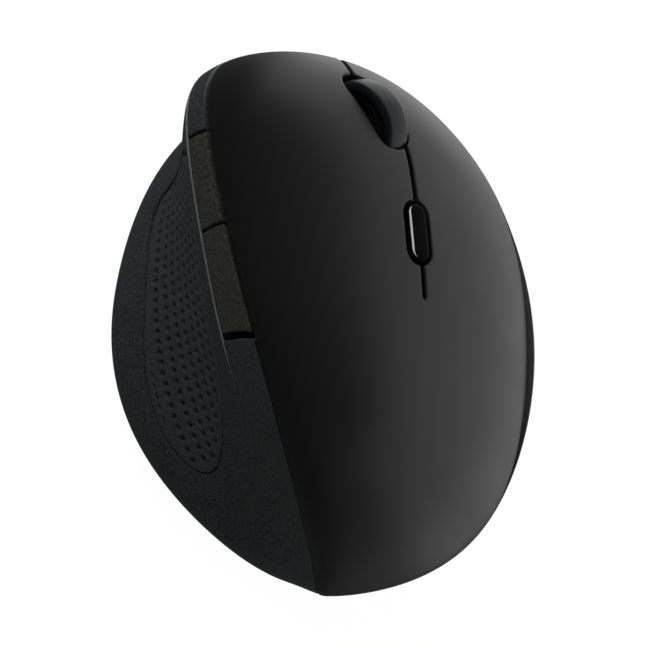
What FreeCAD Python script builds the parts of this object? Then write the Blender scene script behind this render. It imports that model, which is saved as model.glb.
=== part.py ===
import FreeCAD, Part
import math
import os

# Right-handed ergonomic mouse, sizes in millimetres.
# The front points to +Y, the thumb side to -X, and Z is 0 on the desk.

Vector = FreeCAD.Vector

# Body form, given on four cross-sections from rear to front
HALF_LENGTH = 60.0
SECTION_Y = (-42.0, -14.0, 14.0, 42.0)
LEFT_FOOT_X = (-29.4, -45.6, -45.9, -33.7)
RIGHT_FOOT_X = (37.6, 45.9, 45.2, 33.0)
RIDGE_X = (-9.9, -20.1, -25.9, -27.8)
RIDGE_Z = (29.3, 42.6, 47.2, 42.2)
CREST_X = (2.0, -7.1, -12.3, -11.8)
CREST_Z = (42.1, 53.7, 55.5, 51.7)
SEAM_X = (-6.0, -14.2, -21.1, -23.9)
REAR_TIP_X = -0.5
FRONT_TIP_X = 0.8
TIP_Z = -4.0
TIP_ANGLE = 88.3
WALL_ANGLE = 84.0

# Curve handles of the cross-sections
RIM_START = 20.0
LEDGE_RIM = 31.0
LEDGE_RIM_IN = 0.062
HOLLOW_LOW = 15.0
HOLLOW_IN = 0.157
WALL_UP = 0.79
WALL_IN = -3.5
HOLLOW_ENDS_Y = -48.0
HOLLOW_FULL_Y = -18.0
BACK_RISE_LOW = 0.28
BACK_RISE_HIGH = 0.55
BACK_IN = 0.04
BACK_HANDLE = 0.35
STRIP_ANGLE = 60.0
STRIP_HANDLE = 0.45
SHOULDER_OUT = 0.50
SHOULDER_UP = 0.52
HANDLE_LIMIT = 0.75
UNDERCUT = 0.08
UNDERCUT_Z = 12.0

# Shells
WALL = 2.2
FLOOR_BOTTOM = 0.8
FLOOR = 2.0
PARTING_Z = 7.2
PARTING_RISE_X = 0.08
PARTING_RISE_Y = 0.045
PARTING_GAP = 0.15
KEY_DROP_GAP = 1.3
RIM_IN = 3.5
RIM_WALL = 1.2
RIM_DROP = 2.6
RIM_STEP = 0.9
RIM_RISE = 3.0
LIP = 1.4
LIP_Y = -8.0
LIP_HALF = 36.0
SEAM_GAP_FRONT = 0.9
SEAM_GAP_REAR = 0.25
SEAM_LOWEST = 0.05
SEAM_HIGHEST = 0.98

# Split between the two keys, seen from above
SPLIT_PATH = ((1.0, 62.0), (6.3, 46.4), (12.0, 37.0), (17.2, 30.0), (19.3, 18.0), (20.4, 6.0), (21.0, -5.0))
SPLIT_GAP = 1.0
FLEX_Y = -5.0
FLEX_GAP = 0.25

# Scroll wheel and its slot
WHEEL_X = 12.0
WHEEL_Y = 37.0
WHEEL_SLOT_FRONT = (6.3, 46.3)
WHEEL_SLOT_REAR = (17.3, 30.1)
WHEEL_SLOT_LENGTH = 22.0
WHEEL_SLOT_WIDTH = 8.8
WHEEL_RADIUS = 10.4
WHEEL_WIDTH = 6.6
WHEEL_PROUD = 3.6
WHEEL_ROOM_RADIUS = 11.4
WHEEL_ROOM_WIDTH = 7.6
WHEEL_ROOM_DEPTH = 1.3
TYRE_THICKNESS = 2.2
TYRE_ROUND = 0.9
HUB_STEP = 0.6
HUB_DISH = 1.4
HUB_CORE_RADIUS = 3.0
AXLE_RADIUS = 1.5
AXLE_LEFT = 5.2
AXLE_PAST_ENCODER = 0.8
RUNNING_FIT = 0.06

# Fork that carries the wheel and rocks on a pin behind it, in the wheel's frame
CRADLE_INNER = 3.9
CRADLE_OUTER = 5.1
CRADLE_REAR = -17.2
CRADLE_FRONT = 14.2
CRADLE_DROP = 6.0
CRADLE_RAIL_DROP = 2.0
CRADLE_EAR = 5.0
CRADLE_EAR_UP = 2.6
CRADLE_ROOM = 0.7
FINGER_HALF = 2.0
FINGER_LENGTH = 4.4
FINGER_THICKNESS = 1.2
PIVOT_Y = -15.9
PIVOT_UP = -3.0
PIVOT_RADIUS = 1.2
EAR_INNER = 5.6
EAR_OUTER = 8.0
EAR_HALF = 2.6
ENCODER_DEPTH = 3.4
ENCODER_HALF = 5.5
ENCODER_UP = 1.85

# Speed button between the keys
SPEED_X = 19.8
SPEED_Y = 10.1
SPEED_LENGTH = 12.8
SPEED_WIDTH = 4.9
SPEED_SLOT_GAP = 0.75
SPEED_PROUD = 0.5
SPEED_TRAVEL = 0.5
SPEED_BEVEL = 0.7
SPEED_FLANGE = -3.9
SPEED_FLANGE_OUT = 1.1
SPEED_STEM = (4.9, 6.9)
SPEED_STEM_END = -6.5
SPEED_POCKET_FLOOR = -8.6
SPEED_GUIDE_WALL = 1.2

# Side buttons
CUT_FRONT_Y = 30.1
CUT_MIDDLE_Y = 9.1
CUT_REAR_RIDGE = (-20.8, -12.8)
CUT_REAR_SEAM = (-14.0, -15.4)
CUT_NARROW = 0.35
CUT_WIDE = 1.2
WINDOW_EDGE = 0.45
WINDOW_PAST_SEAM = 1.5
BUTTON_GAP = 0.3
BUTTON_ROW_REAR_Y = -24.4
BUTTON_ROW_FRONT_Y = 36.9
SIDE_TRAVEL = 0.6

# Rail, board and switches behind the side buttons, in the frame of their strip
STRIP_MIDDLE_Y = 8.5
STRIP_HALF = 22.0
FORWARD_SWITCH_Y = 19.0
BACK_SWITCH_Y = -3.0
RIB_SIDE = 2.4
RIB_END = 4.2
SIDE_SWITCH = 1.7
SIDE_SWITCH_SIDE = 3.4
SIDE_BOARD = 1.0
SIDE_BOARD_END = 4.0
SIDE_CARRIER = 1.8
SIDE_HALF_WIDTH = 3.4
CARRIER_REAR = -31.0
CARRIER_REAR_PAD = -27.0
CARRIER_FRONT_PAD = 22.6
CARRIER_FRONT = 25.5
CARRIER_PAD_LEFT = -2.6
CARRIER_PAD_RIGHT = 0.4

# Thumb grip outline, along the body and across the thumb hollow
GRIP_DEPTH = 1.2
GRIP_GAP = 0.15
GRIP_BACKLASH = 0.04
GRIP_LEAN = 58.0
GRIP_OUTLINE = (
    (29.4, 16.0), (30.4, 8.0), (29.6, 0.0), (25.4, -2.6), (17.0, -3.0), (4.0, -2.6), (-12.0, -3.8),
    (-21.0, -4.0), (-28.0, -3.2), (-32.8, -0.8), (-34.4, 2.8), (-32.6, 7.4), (-28.0, 12.0),
    (-20.5, 17.2), (-12.0, 20.4), (0.0, 21.8), (12.0, 22.6), (21.0, 22.8), (27.0, 21.2),
)

# Board that carries the wheel and the key switches, in the wheel's frame
DECK_DROP = 15.5
BOARD = 1.2
DECK_OUTLINE = (
    (-17.5, -14.0), (-17.5, 3.5), (-11.5, 12.5), (-6.5, 19.5), (8.0, 19.5), (12.0, 13.0),
    (19.0, 9.0), (19.0, -14.0), (4.0, -33.0), (-12.0, -33.0),
)
DECK_PLATE = 2.0
DECK_STANDOFF = 0.6
DECK_PADS = ((-15.0, -11.0), (-15.0, 2.0), (16.5, 6.5), (16.5, -11.0), (-9.0, -30.0), (1.0, -30.0))
DECK_WHEEL_HALF = 4.6
DECK_WHEEL_ROOM = 1.3
BOARD_NOTCH = (-9.2, 11.2)
BOARD_NOTCH_ROOM = 2.2
PAD_RADIUS = 1.8
SWITCH_SIZE = (5.8, 12.8, 6.5)
PLUNGER_SIZE = (1.6, 2.6)
LEFT_SWITCH_AT = (-13.7, -2.0)
RIGHT_SWITCH_AT = (15.2, -2.0)
SWITCH_PLUNGER = 0.6
LEFT_RIB_GAP = 0.5
RIGHT_RIB_GAP = 0.65
KEY_RIB_SIDE = 3.0
WHEEL_SWITCH_SIDE = 4.4
WHEEL_SWITCH_BODY = 1.8
WHEEL_SWITCH_STEM = 0.4
DECK_LEGS = ((-3.0, 18.6), (6.7, 42.4), (17.5, 3.0), (19.5, 26.0), (-10.5, 36.0))
LEG_SIDE = 4.0

# Boards, sensor and power parts on the floor
MAIN_BOARD_OUTLINE = (
    (-27.0, -12.6), (27.0, -12.6), (31.0, 10.0), (24.0, 34.0), (12.0, 46.0), (-14.0, 46.0), (-26.0, 30.0),
)
MAIN_BOARD_Z = 4.9
BOARD_RESTS = ((-22.0, -9.0), (22.0, -9.0), (-18.0, 34.0), (17.0, 36.0))
BOARD_CUT_GAP = 0.4
SENSOR_X = 1.0
SENSOR_Y = 4.0
SENSOR_WINDOW_RADIUS = 3.3
LENS_SIZE = (13.0, 10.0)
LENS_RADIUS = 3.0
CHIP_SIZE = (9.9, 9.1, 2.3)
BATTERY_X = 6.3
BATTERY_Y = -28.0
BATTERY_RADIUS = 7.1
BATTERY_LENGTH = 50.5
BATTERY_NUB = 1.2
BATTERY_NUB_RADIUS = 2.6
BAY_WALL = 1.2
BAY_GAP = 0.35
CONTACT_ROOM = 2.0
CONTACT_PLATE = 0.5
CONTACT_HALF = 5.0
CONTACT_PIN_RADIUS = 2.0
SPRING_WIRE = 0.3
SPRING_RADIUS = 4.0
SPRING_PITCH = 1.5
RECEIVER_SIZE = (18.5, 4.5, 12.0)
RECEIVER_CAP = 6.0
DOOR_THICKNESS = 1.4
DOOR_LEDGE = 1.2
DOOR_TRAVEL = 3.0
DOOR_GAP = 0.15
DOOR_GROOVES = 3
DOOR_GROOVE_START = 6.0
DOOR_GROOVE_PITCH = 2.4
DOOR_GROOVE_END = 5.0
SLIDER_X = -16.0
SLIDER_Y = 20.0
SLIDER_TRAVEL = 2.0
SLIDER_KNOB = (3.0, 5.0, 1.6)
SLIDER_STEM = 1.5
SLIDER_STEM_LENGTH = 1.9
SLIDER_GAP = 0.15
POWER_SWITCH_SIZE = (4.4, 9.4)

# Feet and screws
FOOT_THICKNESS = 1.1
FOOT_WIDTH = 5.0
FOOT_ROOM = 0.2
FEET = (
    ("foot_front", -2.0, 46.5, 18.0, 0.0),
    ("foot_rear", -4.0, -49.5, 14.0, 0.0),
    ("foot_left", -39.0, 3.0, 18.0, 90.0),
    ("foot_right", 36.5, 5.0, 18.0, 90.0),
)
SCREWS = (
    ("screw_rear_right", 39.2, -20.0, "cover"),
    ("screw_rear", 15.0, -45.5, "cover"),
    ("screw_rear_left", -31.5, -22.0, "side"),
    ("screw_front_left", -30.0, 26.0, "side"),
)
SCREW_RADIUS = 1.1
SCREW_HEAD_RADIUS = 2.2
SCREW_HEAD = 1.3
SCREW_SUNK = 0.3
SCREW_LENGTH = 10.0
SCREW_CROSS = (2.6, 0.6, 0.5)
BOSS_RADIUS = 3.0
BOSS_FOOT_RADIUS = 4.0
BOSS_FOOT_Z = 4.9

FLOOR_TOP = FLOOR_BOTTOM + FLOOR
SKIN_OVERLAP = 0.6
PART_GAP = 0.02
FAR = 90.0

# How finely the body surfaces are drawn
ALONG_STEPS = 41
FLANK_STEPS = 17
STRIP_STEPS = 7
CROWN_STEPS = 25
COVER_STEPS = 31


# Small helpers for numbers

def mix(first, second, share):
    return first + (second - first) * share


def smooth(share):
    share = min(max(share, 0.0), 1.0)
    return share ** 3 * (share * (6.0 * share - 15.0) + 10.0)


def bezier(points, share):
    count = len(points) - 1
    x = 0.0
    z = 0.0
    for index, point in enumerate(points):
        weight = math.comb(count, index) * (1.0 - share) ** (count - index) * share ** index
        x += weight * point[0]
        z += weight * point[1]
    return x, z


# Body form

def along_body(values, rear_tip, front_tip, u):
    """Value at u, from -1 at the rear tip to 1 at the front tip, through the four sections."""
    total = 0.0
    for index, station in enumerate(SECTION_Y):
        here = station / HALF_LENGTH
        weight = (values[index] - mix(rear_tip, front_tip, (here + 1.0) / 2.0)) / math.sqrt(1.0 - here ** 2)
        for other_index, other in enumerate(SECTION_Y):
            if other_index != index:
                weight *= (u - other / HALF_LENGTH) / (here - other / HALF_LENGTH)
        total += weight
    return mix(rear_tip, front_tip, (u + 1.0) / 2.0) + math.sqrt(max(1.0 - u ** 2, 0.0)) * total


def across(values, u):
    return along_body(values, REAR_TIP_X, FRONT_TIP_X, u)


def upward(values, u):
    return along_body(values, TIP_Z, TIP_Z, u)


def lip_flare(y):
    share = (y - LIP_Y) / LIP_HALF
    return LIP * max(1.0 - share ** 2, 0.0) ** 2


def section(angle, depth, lip=False):
    """Three curves of one cross-section: thumb flank, ridge to crest, crest to right foot."""
    u = math.sin(math.radians(angle))
    y = HALF_LENGTH * u
    left = across(LEFT_FOOT_X, u)
    right = across(RIGHT_FOOT_X, u)
    ridge_x = across(RIDGE_X, u)
    ridge_z = upward(RIDGE_Z, u)
    crest_x = across(CREST_X, u)
    crest_z = upward(CREST_Z, u)
    width = right - left
    rise = ridge_z - TIP_Z
    squeeze = math.cos(math.radians(angle))
    hollow = smooth((y - HOLLOW_ENDS_Y) / (HOLLOW_FULL_Y - HOLLOW_ENDS_Y))
    lean = math.radians(STRIP_ANGLE)
    back = BACK_HANDLE * math.hypot(width, rise)
    steep = (ridge_x - back * math.cos(lean), ridge_z - back * math.sin(lean))
    flank = [
        (left, TIP_Z),
        (left, TIP_Z + mix(BACK_RISE_LOW * rise, RIM_START * squeeze, hollow)),
        (left + mix(BACK_IN, LEDGE_RIM_IN, hollow) * width,
         TIP_Z + mix(BACK_RISE_HIGH * rise, LEDGE_RIM * squeeze, hollow)),
        (mix(steep[0], left + HOLLOW_IN * width, hollow), mix(steep[1], TIP_Z + HOLLOW_LOW * squeeze, hollow)),
        (mix((ridge_x + steep[0]) / 2.0, ridge_x + WALL_IN, hollow),
         mix((ridge_z + steep[1]) / 2.0, TIP_Z + WALL_UP * rise, hollow)),
        (ridge_x, ridge_z),
    ]
    reach = STRIP_HANDLE * math.hypot(crest_x - ridge_x, crest_z - ridge_z)
    strip_top = (ridge_x + reach * math.cos(lean), ridge_z + reach * math.sin(lean))
    right_handle = SHOULDER_OUT * (right - crest_x)
    left_drop = max(crest_z - strip_top[1], 0.0)
    right_drop = (1.0 - SHOULDER_UP) * (crest_z - TIP_Z)
    left_handle = min(right_handle * math.sqrt(left_drop / right_drop), HANDLE_LIMIT * (crest_x - ridge_x))
    top = [(ridge_x, ridge_z), strip_top, (crest_x - left_handle, crest_z), (crest_x, crest_z)]
    foot = right
    if lip:
        foot = right + lip_flare(y)
    side = [
        (crest_x, crest_z),
        (crest_x + right_handle, crest_z),
        (foot, TIP_Z + SHOULDER_UP * (crest_z - TIP_Z)),
        (foot, TIP_Z),
    ]
    flank_in = ((1.0, 0.0), (1.0, -0.5), (1.0, -0.8), (1.0, -0.8), (1.0, -0.3), (1.0, -0.26))
    top_in = ((1.0, -0.26), (0.9, -0.5), (0.3, -1.0), (0.0, -1.0))
    side_in = ((0.0, -1.0), (-0.3, -1.0), (-1.0, -0.5), (-1.0, 0.0))
    inset = depth * (1.0 - (1.0 - squeeze) ** 6)
    curves = []
    for points, inward in ((flank, flank_in), (top, top_in), (side, side_in)):
        curves.append([(p[0] + inset * q[0], p[1] + inset * q[1]) for p, q in zip(points, inward)])
    return (HALF_LENGTH - depth) * u, curves


def body_point(angle, place, depth=0.0, lip=False):
    """Point on the body. place runs 0 to 1 up the flank, to 2 at the crest and 3 at the right foot."""
    y, curves = section(angle, depth, lip)
    part = min(int(place), 2)
    x, z = bezier(curves[part], place - part)
    taper = 1.0 - UNDERCUT * min(max((UNDERCUT_Z - z) / UNDERCUT_Z, 0.0), 1.0) ** 2
    return Vector(x * taper, y * taper, z)


def angle_at(y):
    return math.degrees(math.asin(y / HALF_LENGTH))


def seam_place(angle):
    """Place of the seam between the side shell and the glossy cover."""
    wanted = across(SEAM_X, math.sin(math.radians(angle)))
    curves = section(angle, 0.0)[1]
    low = 0.0
    high = 1.0
    for _ in range(40):
        middle = (low + high) / 2.0
        if bezier(curves[1], middle)[0] < wanted:
            low = middle
        else:
            high = middle
    return 1.0 + min(max(low, SEAM_LOWEST), SEAM_HIGHEST)


def shifted(place_of, angle, distance):
    """A place moved by a distance across the body surface."""
    place = place_of(angle)
    step = 0.01
    span = (body_point(angle, place + step) - body_point(angle, place)).Length
    return place + step * distance / max(span, 1e-6)


def seam_gap(angle):
    y = HALF_LENGTH * math.sin(math.radians(angle))
    share = smooth((y + HALF_LENGTH) / (2.0 * HALF_LENGTH))
    return mix(SEAM_GAP_REAR, SEAM_GAP_FRONT, share)


def left_foot(angle):
    return 0.0


def ridge(angle):
    return 1.0


def right_foot(angle):
    return 3.0


def seam_left(angle):
    return shifted(seam_place, angle, -seam_gap(angle) / 2.0)


def seam_right(angle):
    return shifted(seam_place, angle, seam_gap(angle) / 2.0)


# Solids from the body form

def spline_knots(count):
    """Knots of a cubic through evenly spaced points, with how often each one counts."""
    knots = [0.0]
    for index in range(1, count - 3):
        knots.append((index + 1.0) / (count - 1))
    knots.append(1.0)
    return knots, [4] + [1] * (count - 4) + [4]


def spline_weights(share, flat, count):
    """Weights of the cubic's poles at a share of its length."""
    span = 3
    while span < count - 1 and share >= flat[span + 1]:
        span += 1
    weights = [1.0]
    for degree in range(1, 4):
        grown = [0.0] * (degree + 1)
        for index in range(degree):
            low = flat[span - degree + 1 + index]
            high = flat[span + 1 + index]
            part = weights[index] / (high - low)
            grown[index] += (high - share) * part
            grown[index + 1] += (share - low) * part
        weights = grown
    row = [0.0] * count
    for index, weight in enumerate(weights):
        row[span - 3 + index] = weight
    return row


def spline_poles(points):
    """Poles of the cubic that passes through the points."""
    count = len(points)
    knots, repeats = spline_knots(count)
    flat = []
    for knot, repeat in zip(knots, repeats):
        flat += [knot] * repeat
    rows = []
    for index, point in enumerate(points):
        rows.append(spline_weights(index / (count - 1), flat, count) + [point.x, point.y, point.z])
    for pivot in range(count):
        lead = rows[pivot][pivot]
        rows[pivot] = [value / lead for value in rows[pivot]]
        for other in range(pivot + 1, min(pivot + 5, count)):
            factor = rows[other][pivot]
            if factor:
                rows[other] = [value - factor * top for value, top in zip(rows[other], rows[pivot])]
    for pivot in range(count - 1, -1, -1):
        for other in range(max(pivot - 4, 0), pivot):
            factor = rows[other][pivot]
            if factor:
                rows[other] = [value - factor * low for value, low in zip(rows[other], rows[pivot])]
    return [Vector(*row[count:]) for row in rows]


def surface_through(rows):
    """Smooth face through a grid of points. Faces with a side in common share it exactly."""
    half = [spline_poles(row) for row in rows]
    columns = [spline_poles([row[index] for row in half]) for index in range(len(half[0]))]
    poles = [[column[index] for column in columns] for index in range(len(rows))]
    along, along_repeats = spline_knots(len(rows))
    around, around_repeats = spline_knots(len(rows[0]))
    surface = Part.BSplineSurface()
    surface.buildFromPolesMultsKnots(poles, along_repeats, around_repeats, along, around, False, False, 3, 3)
    return surface.toShape()


def ruled_between(first, last):
    """Straight-ruled face between the cubics through two rows of points."""
    along, repeats = spline_knots(len(first))
    surface = Part.BSplineSurface()
    poles = [spline_poles(first), spline_poles(last)]
    surface.buildFromPolesMultsKnots(poles, [2, 2], repeats, [0.0, 1.0], along, False, False, 1, 3)
    return surface.toShape()


def curve_edge(points):
    knots, repeats = spline_knots(len(points))
    curve = Part.BSplineCurve()
    curve.buildFromPolesMultsKnots(spline_poles(points), repeats, knots, False, 3)
    return curve.toShape()


def even_places(angle, first, last, steps):
    """Places that lie evenly spaced around the cross-section."""
    fine = 48
    places = [mix(first, last, index / fine) for index in range(fine + 1)]
    points = [body_point(angle, place) for place in places]
    run = [0.0]
    for index in range(fine):
        run.append(run[-1] + (points[index + 1] - points[index]).Length)
    chosen = []
    low = 0
    for step in range(steps):
        wanted = run[-1] * step / (steps - 1)
        while low < fine - 1 and run[low + 1] < wanted:
            low += 1
        chosen.append(mix(places[low], places[low + 1], (wanted - run[low]) / (run[low + 1] - run[low])))
    return chosen


def grid(place_from, place_to, depth, steps, lip=False, start=-TIP_ANGLE, end=TIP_ANGLE):
    """Rows of points on the body from rear to front, each row going around between two places."""
    rows = []
    for row in range(ALONG_STEPS):
        angle = mix(start, end, row / (ALONG_STEPS - 1))
        places = even_places(angle, place_from(angle), place_to(angle), steps)
        rows.append([body_point(angle, place, depth, lip) for place in places])
    return rows


def closed_solid(faces):
    pieces = Part.Compound(faces)
    pieces.sewShape(0.01)
    solid = Part.makeSolid(pieces.Shells[0])
    if solid.Volume < 0.0:
        solid.reverse()
    return solid


def wall_solid(rails, steps, depth_out, depth_in, start=-TIP_ANGLE, end=TIP_ANGLE):
    """Wall between two depths under the body surface, from the first rail to the last."""
    faces = []
    for index in range(len(rails) - 1):
        outer = grid(rails[index], rails[index + 1], depth_out, steps[index], False, start, end)
        inner = grid(rails[index], rails[index + 1], depth_in, steps[index], False, start, end)
        faces += [surface_through(outer), surface_through(inner)]
        faces += [ruled_between(outer[0], inner[0]), ruled_between(outer[-1], inner[-1])]
        if index == 0:
            faces.append(ruled_between([row[0] for row in outer], [row[0] for row in inner]))
        if index == len(rails) - 2:
            faces.append(ruled_between([row[-1] for row in outer], [row[-1] for row in inner]))
    return closed_solid(faces)


def full_body(depth, lip=False):
    """The whole body as one solid, drawn in by a depth. Its flat underside lies below the desk."""
    rails = (left_foot, ridge, crest, right_foot)
    steps = (FLANK_STEPS, STRIP_STEPS, CROWN_STEPS)
    grids = [grid(rails[index], rails[index + 1], depth, steps[index], lip) for index in range(3)]
    faces = [surface_through(rows) for rows in grids]
    left = [row[0] for row in grids[0]]
    right = [row[-1] for row in grids[2]]
    faces.append(ruled_between(left, right))
    for end in (0, -1):
        edges = [curve_edge(rows[end]) for rows in grids]
        edges.append(Part.makeLine(left[end], right[end]))
        faces.append(Part.Face(Part.Wire(edges)))
    return closed_solid(faces)


def crest(angle):
    return 2.0


# Plain solids

def box(size_x, size_y, size_z, centre_x, centre_y, bottom):
    corner = Vector(centre_x - size_x / 2.0, centre_y - size_y / 2.0, bottom)
    return Part.makeBox(size_x, size_y, size_z, corner)


def span_box(x0, x1, y0, y1, z0, z1):
    return Part.makeBox(x1 - x0, y1 - y0, z1 - z0, Vector(x0, y0, z0))


def post(radius, centre_x, centre_y, z0, z1):
    return Part.makeCylinder(radius, z1 - z0, Vector(centre_x, centre_y, z0))


def capsule(length, width, height, centre_x, centre_y, bottom, turn=0.0):
    """Flat bar with round ends, its length along X before the turn."""
    reach = (length - width) / 2.0
    shape = box(2.0 * reach, width, height, 0.0, 0.0, 0.0)
    for side in (-1.0, 1.0):
        shape = shape.fuse(post(width / 2.0, side * reach, 0.0, 0.0, height))
    shape = shape.removeSplitter()
    shape.rotate(Vector(0, 0, 0), Vector(0, 0, 1), turn)
    shape.translate(Vector(centre_x, centre_y, bottom))
    return shape


def prism(outline, bottom, height):
    points = [Vector(p[0], p[1], bottom) for p in outline]
    points.append(points[0])
    return Part.Face(Part.makePolygon(points)).extrude(Vector(0, 0, height))


def lying(radius, length, centre_x, y, z):
    """Cylinder along X."""
    return Part.makeCylinder(radius, length, Vector(centre_x - length / 2.0, y, z), Vector(1, 0, 0))


def placed(shape, frame):
    moved = shape.copy()
    moved.Placement = frame.multiply(moved.Placement)
    return moved


def frame_from(origin, forward, outward):
    """Frame with Y forward, Z outward and X to the right of them."""
    z_axis = Vector(outward).normalize()
    y_axis = Vector(forward)
    y_axis = (y_axis - z_axis * y_axis.dot(z_axis)).normalize()
    x_axis = y_axis.cross(z_axis)
    return FreeCAD.Placement(origin, FreeCAD.Rotation(x_axis, y_axis, z_axis, "ZYX"))


def parting_block(above, offset):
    """Everything above, or below, the plane where the shells meet the base."""
    reach = 100.0
    corners = []
    for x, y in ((-reach, -reach), (reach, -reach), (reach, reach), (-reach, reach)):
        corners.append(Vector(x, y, PARTING_Z + PARTING_RISE_X * x + PARTING_RISE_Y * y + offset))
    corners.append(corners[0])
    face = Part.Face(Part.makePolygon(corners))
    if above:
        return face.extrude(Vector(0, 0, reach))
    return face.extrude(Vector(0, 0, -reach))


# Places on the body

def place_at_x(y, x):
    """Place above the ridge where the body passes over the point x, y."""
    angle = angle_at(y)
    low = 1.0
    high = 3.0
    for _ in range(40):
        middle = (low + high) / 2.0
        if body_point(angle, middle).x < x:
            low = middle
        else:
            high = middle
    return low


def outward_normal(angle, place):
    step = 0.01
    along = body_point(angle + step, place) - body_point(angle - step, place)
    around = body_point(angle, place + step) - body_point(angle, place - step)
    return around.cross(along).normalize()


def surface_frame(x, y, forward):
    angle = angle_at(y)
    place = place_at_x(y, x)
    return frame_from(body_point(angle, place), forward, outward_normal(angle, place))


def top_point(x, y):
    return body_point(angle_at(y), place_at_x(y, x))


def wheel_frame():
    forward = top_point(*WHEEL_SLOT_FRONT) - top_point(*WHEEL_SLOT_REAR)
    return surface_frame(WHEEL_X, WHEEL_Y, forward)


def speed_frame():
    forward = top_point(SPEED_X - 0.4, SPEED_Y + 5.0) - top_point(SPEED_X + 0.4, SPEED_Y - 5.0)
    return surface_frame(SPEED_X, SPEED_Y, forward)


def strip_frame(y, y_half):
    """Frame in the middle of the strip of side buttons."""
    angle = angle_at(y)
    place = (1.0 + seam_place(angle)) / 2.0
    front = angle_at(y + y_half)
    rear = angle_at(y - y_half)
    forward = body_point(front, (1.0 + seam_place(front)) / 2.0) - body_point(rear, (1.0 + seam_place(rear)) / 2.0)
    across_strip = body_point(angle, seam_place(angle)) - body_point(angle, 1.0)
    outward = across_strip.cross(forward)
    return frame_from(body_point(angle, place), forward, outward)


# Outer shells

def everywhere(x0=-FAR, x1=FAR, y0=-FAR, y1=FAR, z0=-FAR, z1=FAR):
    """Block that reaches past the whole mouse on the sides that aren't given."""
    return span_box(x0, x1, y0, y1, z0, z1)


def base_shell():
    outer = full_body(0.0, True).common(everywhere(z0=FLOOR_BOTTOM))
    outer = outer.common(parting_block(False, 0.0))
    room = full_body(WALL, True).common(everywhere(z0=FLOOR_TOP))
    tub = outer.cut(room)
    for name, x, y, target in SCREWS:
        tub = tub.fuse(post(BOSS_FOOT_RADIUS, x, y, FLOOR_BOTTOM, BOSS_FOOT_Z))
    for x, y in BOARD_RESTS:
        tub = tub.fuse(post(PAD_RADIUS, x, y, FLOOR_BOTTOM + SKIN_OVERLAP, MAIN_BOARD_Z - PART_GAP))
    tub = tub.fuse(battery_bay())
    tub = tub.fuse(key_rim())
    for name, x, y, target in SCREWS:
        tub = tub.cut(post(SCREW_RADIUS + 0.2, x, y, 0.0, BOSS_FOOT_Z + 1.0))
        tub = tub.cut(post(SCREW_HEAD_RADIUS + 0.2, x, y, 0.0, FLOOR_BOTTOM + SCREW_HEAD + SCREW_SUNK))
    for name, x, y, length, turn in FEET:
        tub = tub.cut(capsule(length + FOOT_ROOM, FOOT_WIDTH + FOOT_ROOM, FOOT_THICKNESS, x, y, 0.0, turn))
    tub = tub.cut(bay_opening())
    tub = tub.cut(door_recess())
    tub = tub.cut(slider_slot())
    return tub.cut(sensor_window())


def key_rim():
    """Inner rim of the base that closes the view under the keys' lower edge."""
    front = everywhere(y0=FLEX_Y + 1.0, z0=FLOOR_TOP)
    inside = full_body(RIM_IN + RIM_WALL)
    step = full_body(WALL - 0.3).cut(inside).common(parting_block(True, -RIM_DROP))
    step = step.common(parting_block(False, -RIM_STEP))
    rim = full_body(RIM_IN).cut(inside).common(parting_block(True, -RIM_DROP))
    rim = rim.common(parting_block(False, RIM_RISE))
    return step.fuse(rim).common(front)


def cover_wall():
    return wall_solid((seam_right, right_foot), (COVER_STEPS,), 0.0, WALL, -WALL_ANGLE, WALL_ANGLE)


def split_curve(offset):
    points = [Vector(x + offset, y, 0.0) for x, y in SPLIT_PATH]
    curve = Part.BSplineCurve()
    curve.interpolate(points)
    return curve.toShape()


def split_ribbon():
    """Curved upright wall that parts the two keys."""
    face = Part.makeRuledSurface(split_curve(-SPLIT_GAP / 2.0), split_curve(SPLIT_GAP / 2.0))
    return face.extrude(Vector(0, 0, FAR))


def left_of_split():
    front = SPLIT_PATH[0][1]
    rear = SPLIT_PATH[-1][1]
    far = Part.makeLine(Vector(-FAR, front, 0), Vector(-FAR, rear, 0))
    return Part.makeRuledSurface(split_curve(0.0), far).extrude(Vector(0, 0, FAR))


def wheel_slot():
    shape = capsule(WHEEL_SLOT_LENGTH, WHEEL_SLOT_WIDTH, 20.0, 0.0, 0.0, -14.0, 90.0)
    return placed(shape, wheel_frame())


def wheel_room():
    """Hollow under the rim of the slot, so that a pressed key clears the tyre."""
    room = along_axle(WHEEL_ROOM_RADIUS, WHEEL_ROOM_WIDTH, 0.0)
    return in_wheel_frame(room.common(everywhere(z1=-WHEEL_ROOM_DEPTH)))


def speed_slot():
    length = SPEED_LENGTH + 2.0 * SPEED_SLOT_GAP
    width = SPEED_WIDTH + 2.0 * SPEED_SLOT_GAP
    shape = capsule(length, width, 12.0, 0.0, 0.0, -6.0, 90.0)
    return placed(shape, speed_frame())


def key_blank(wall):
    blank = wall.common(everywhere(y0=FLEX_Y + FLEX_GAP / 2.0)).common(parting_block(True, KEY_DROP_GAP))
    return blank.cut(split_ribbon()).cut(wheel_slot()).cut(wheel_room()).cut(speed_slot())


def key_rib(switch_at, gap, inner):
    """Rib under a key that stands over its switch."""
    bottom = -DECK_DROP + SWITCH_SIZE[2] + SWITCH_PLUNGER + gap
    rib = box(KEY_RIB_SIDE, KEY_RIB_SIDE, 20.0, switch_at[0], switch_at[1], bottom)
    return placed(rib, wheel_frame()).common(inner)


def left_button(blank, inner):
    key = blank.common(left_of_split())
    return key.fuse(key_rib(LEFT_SWITCH_AT, LEFT_RIB_GAP, inner))


def right_button(blank, inner):
    key = blank.cut(left_of_split())
    return key.fuse(key_rib(RIGHT_SWITCH_AT, RIGHT_RIB_GAP, inner))


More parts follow.
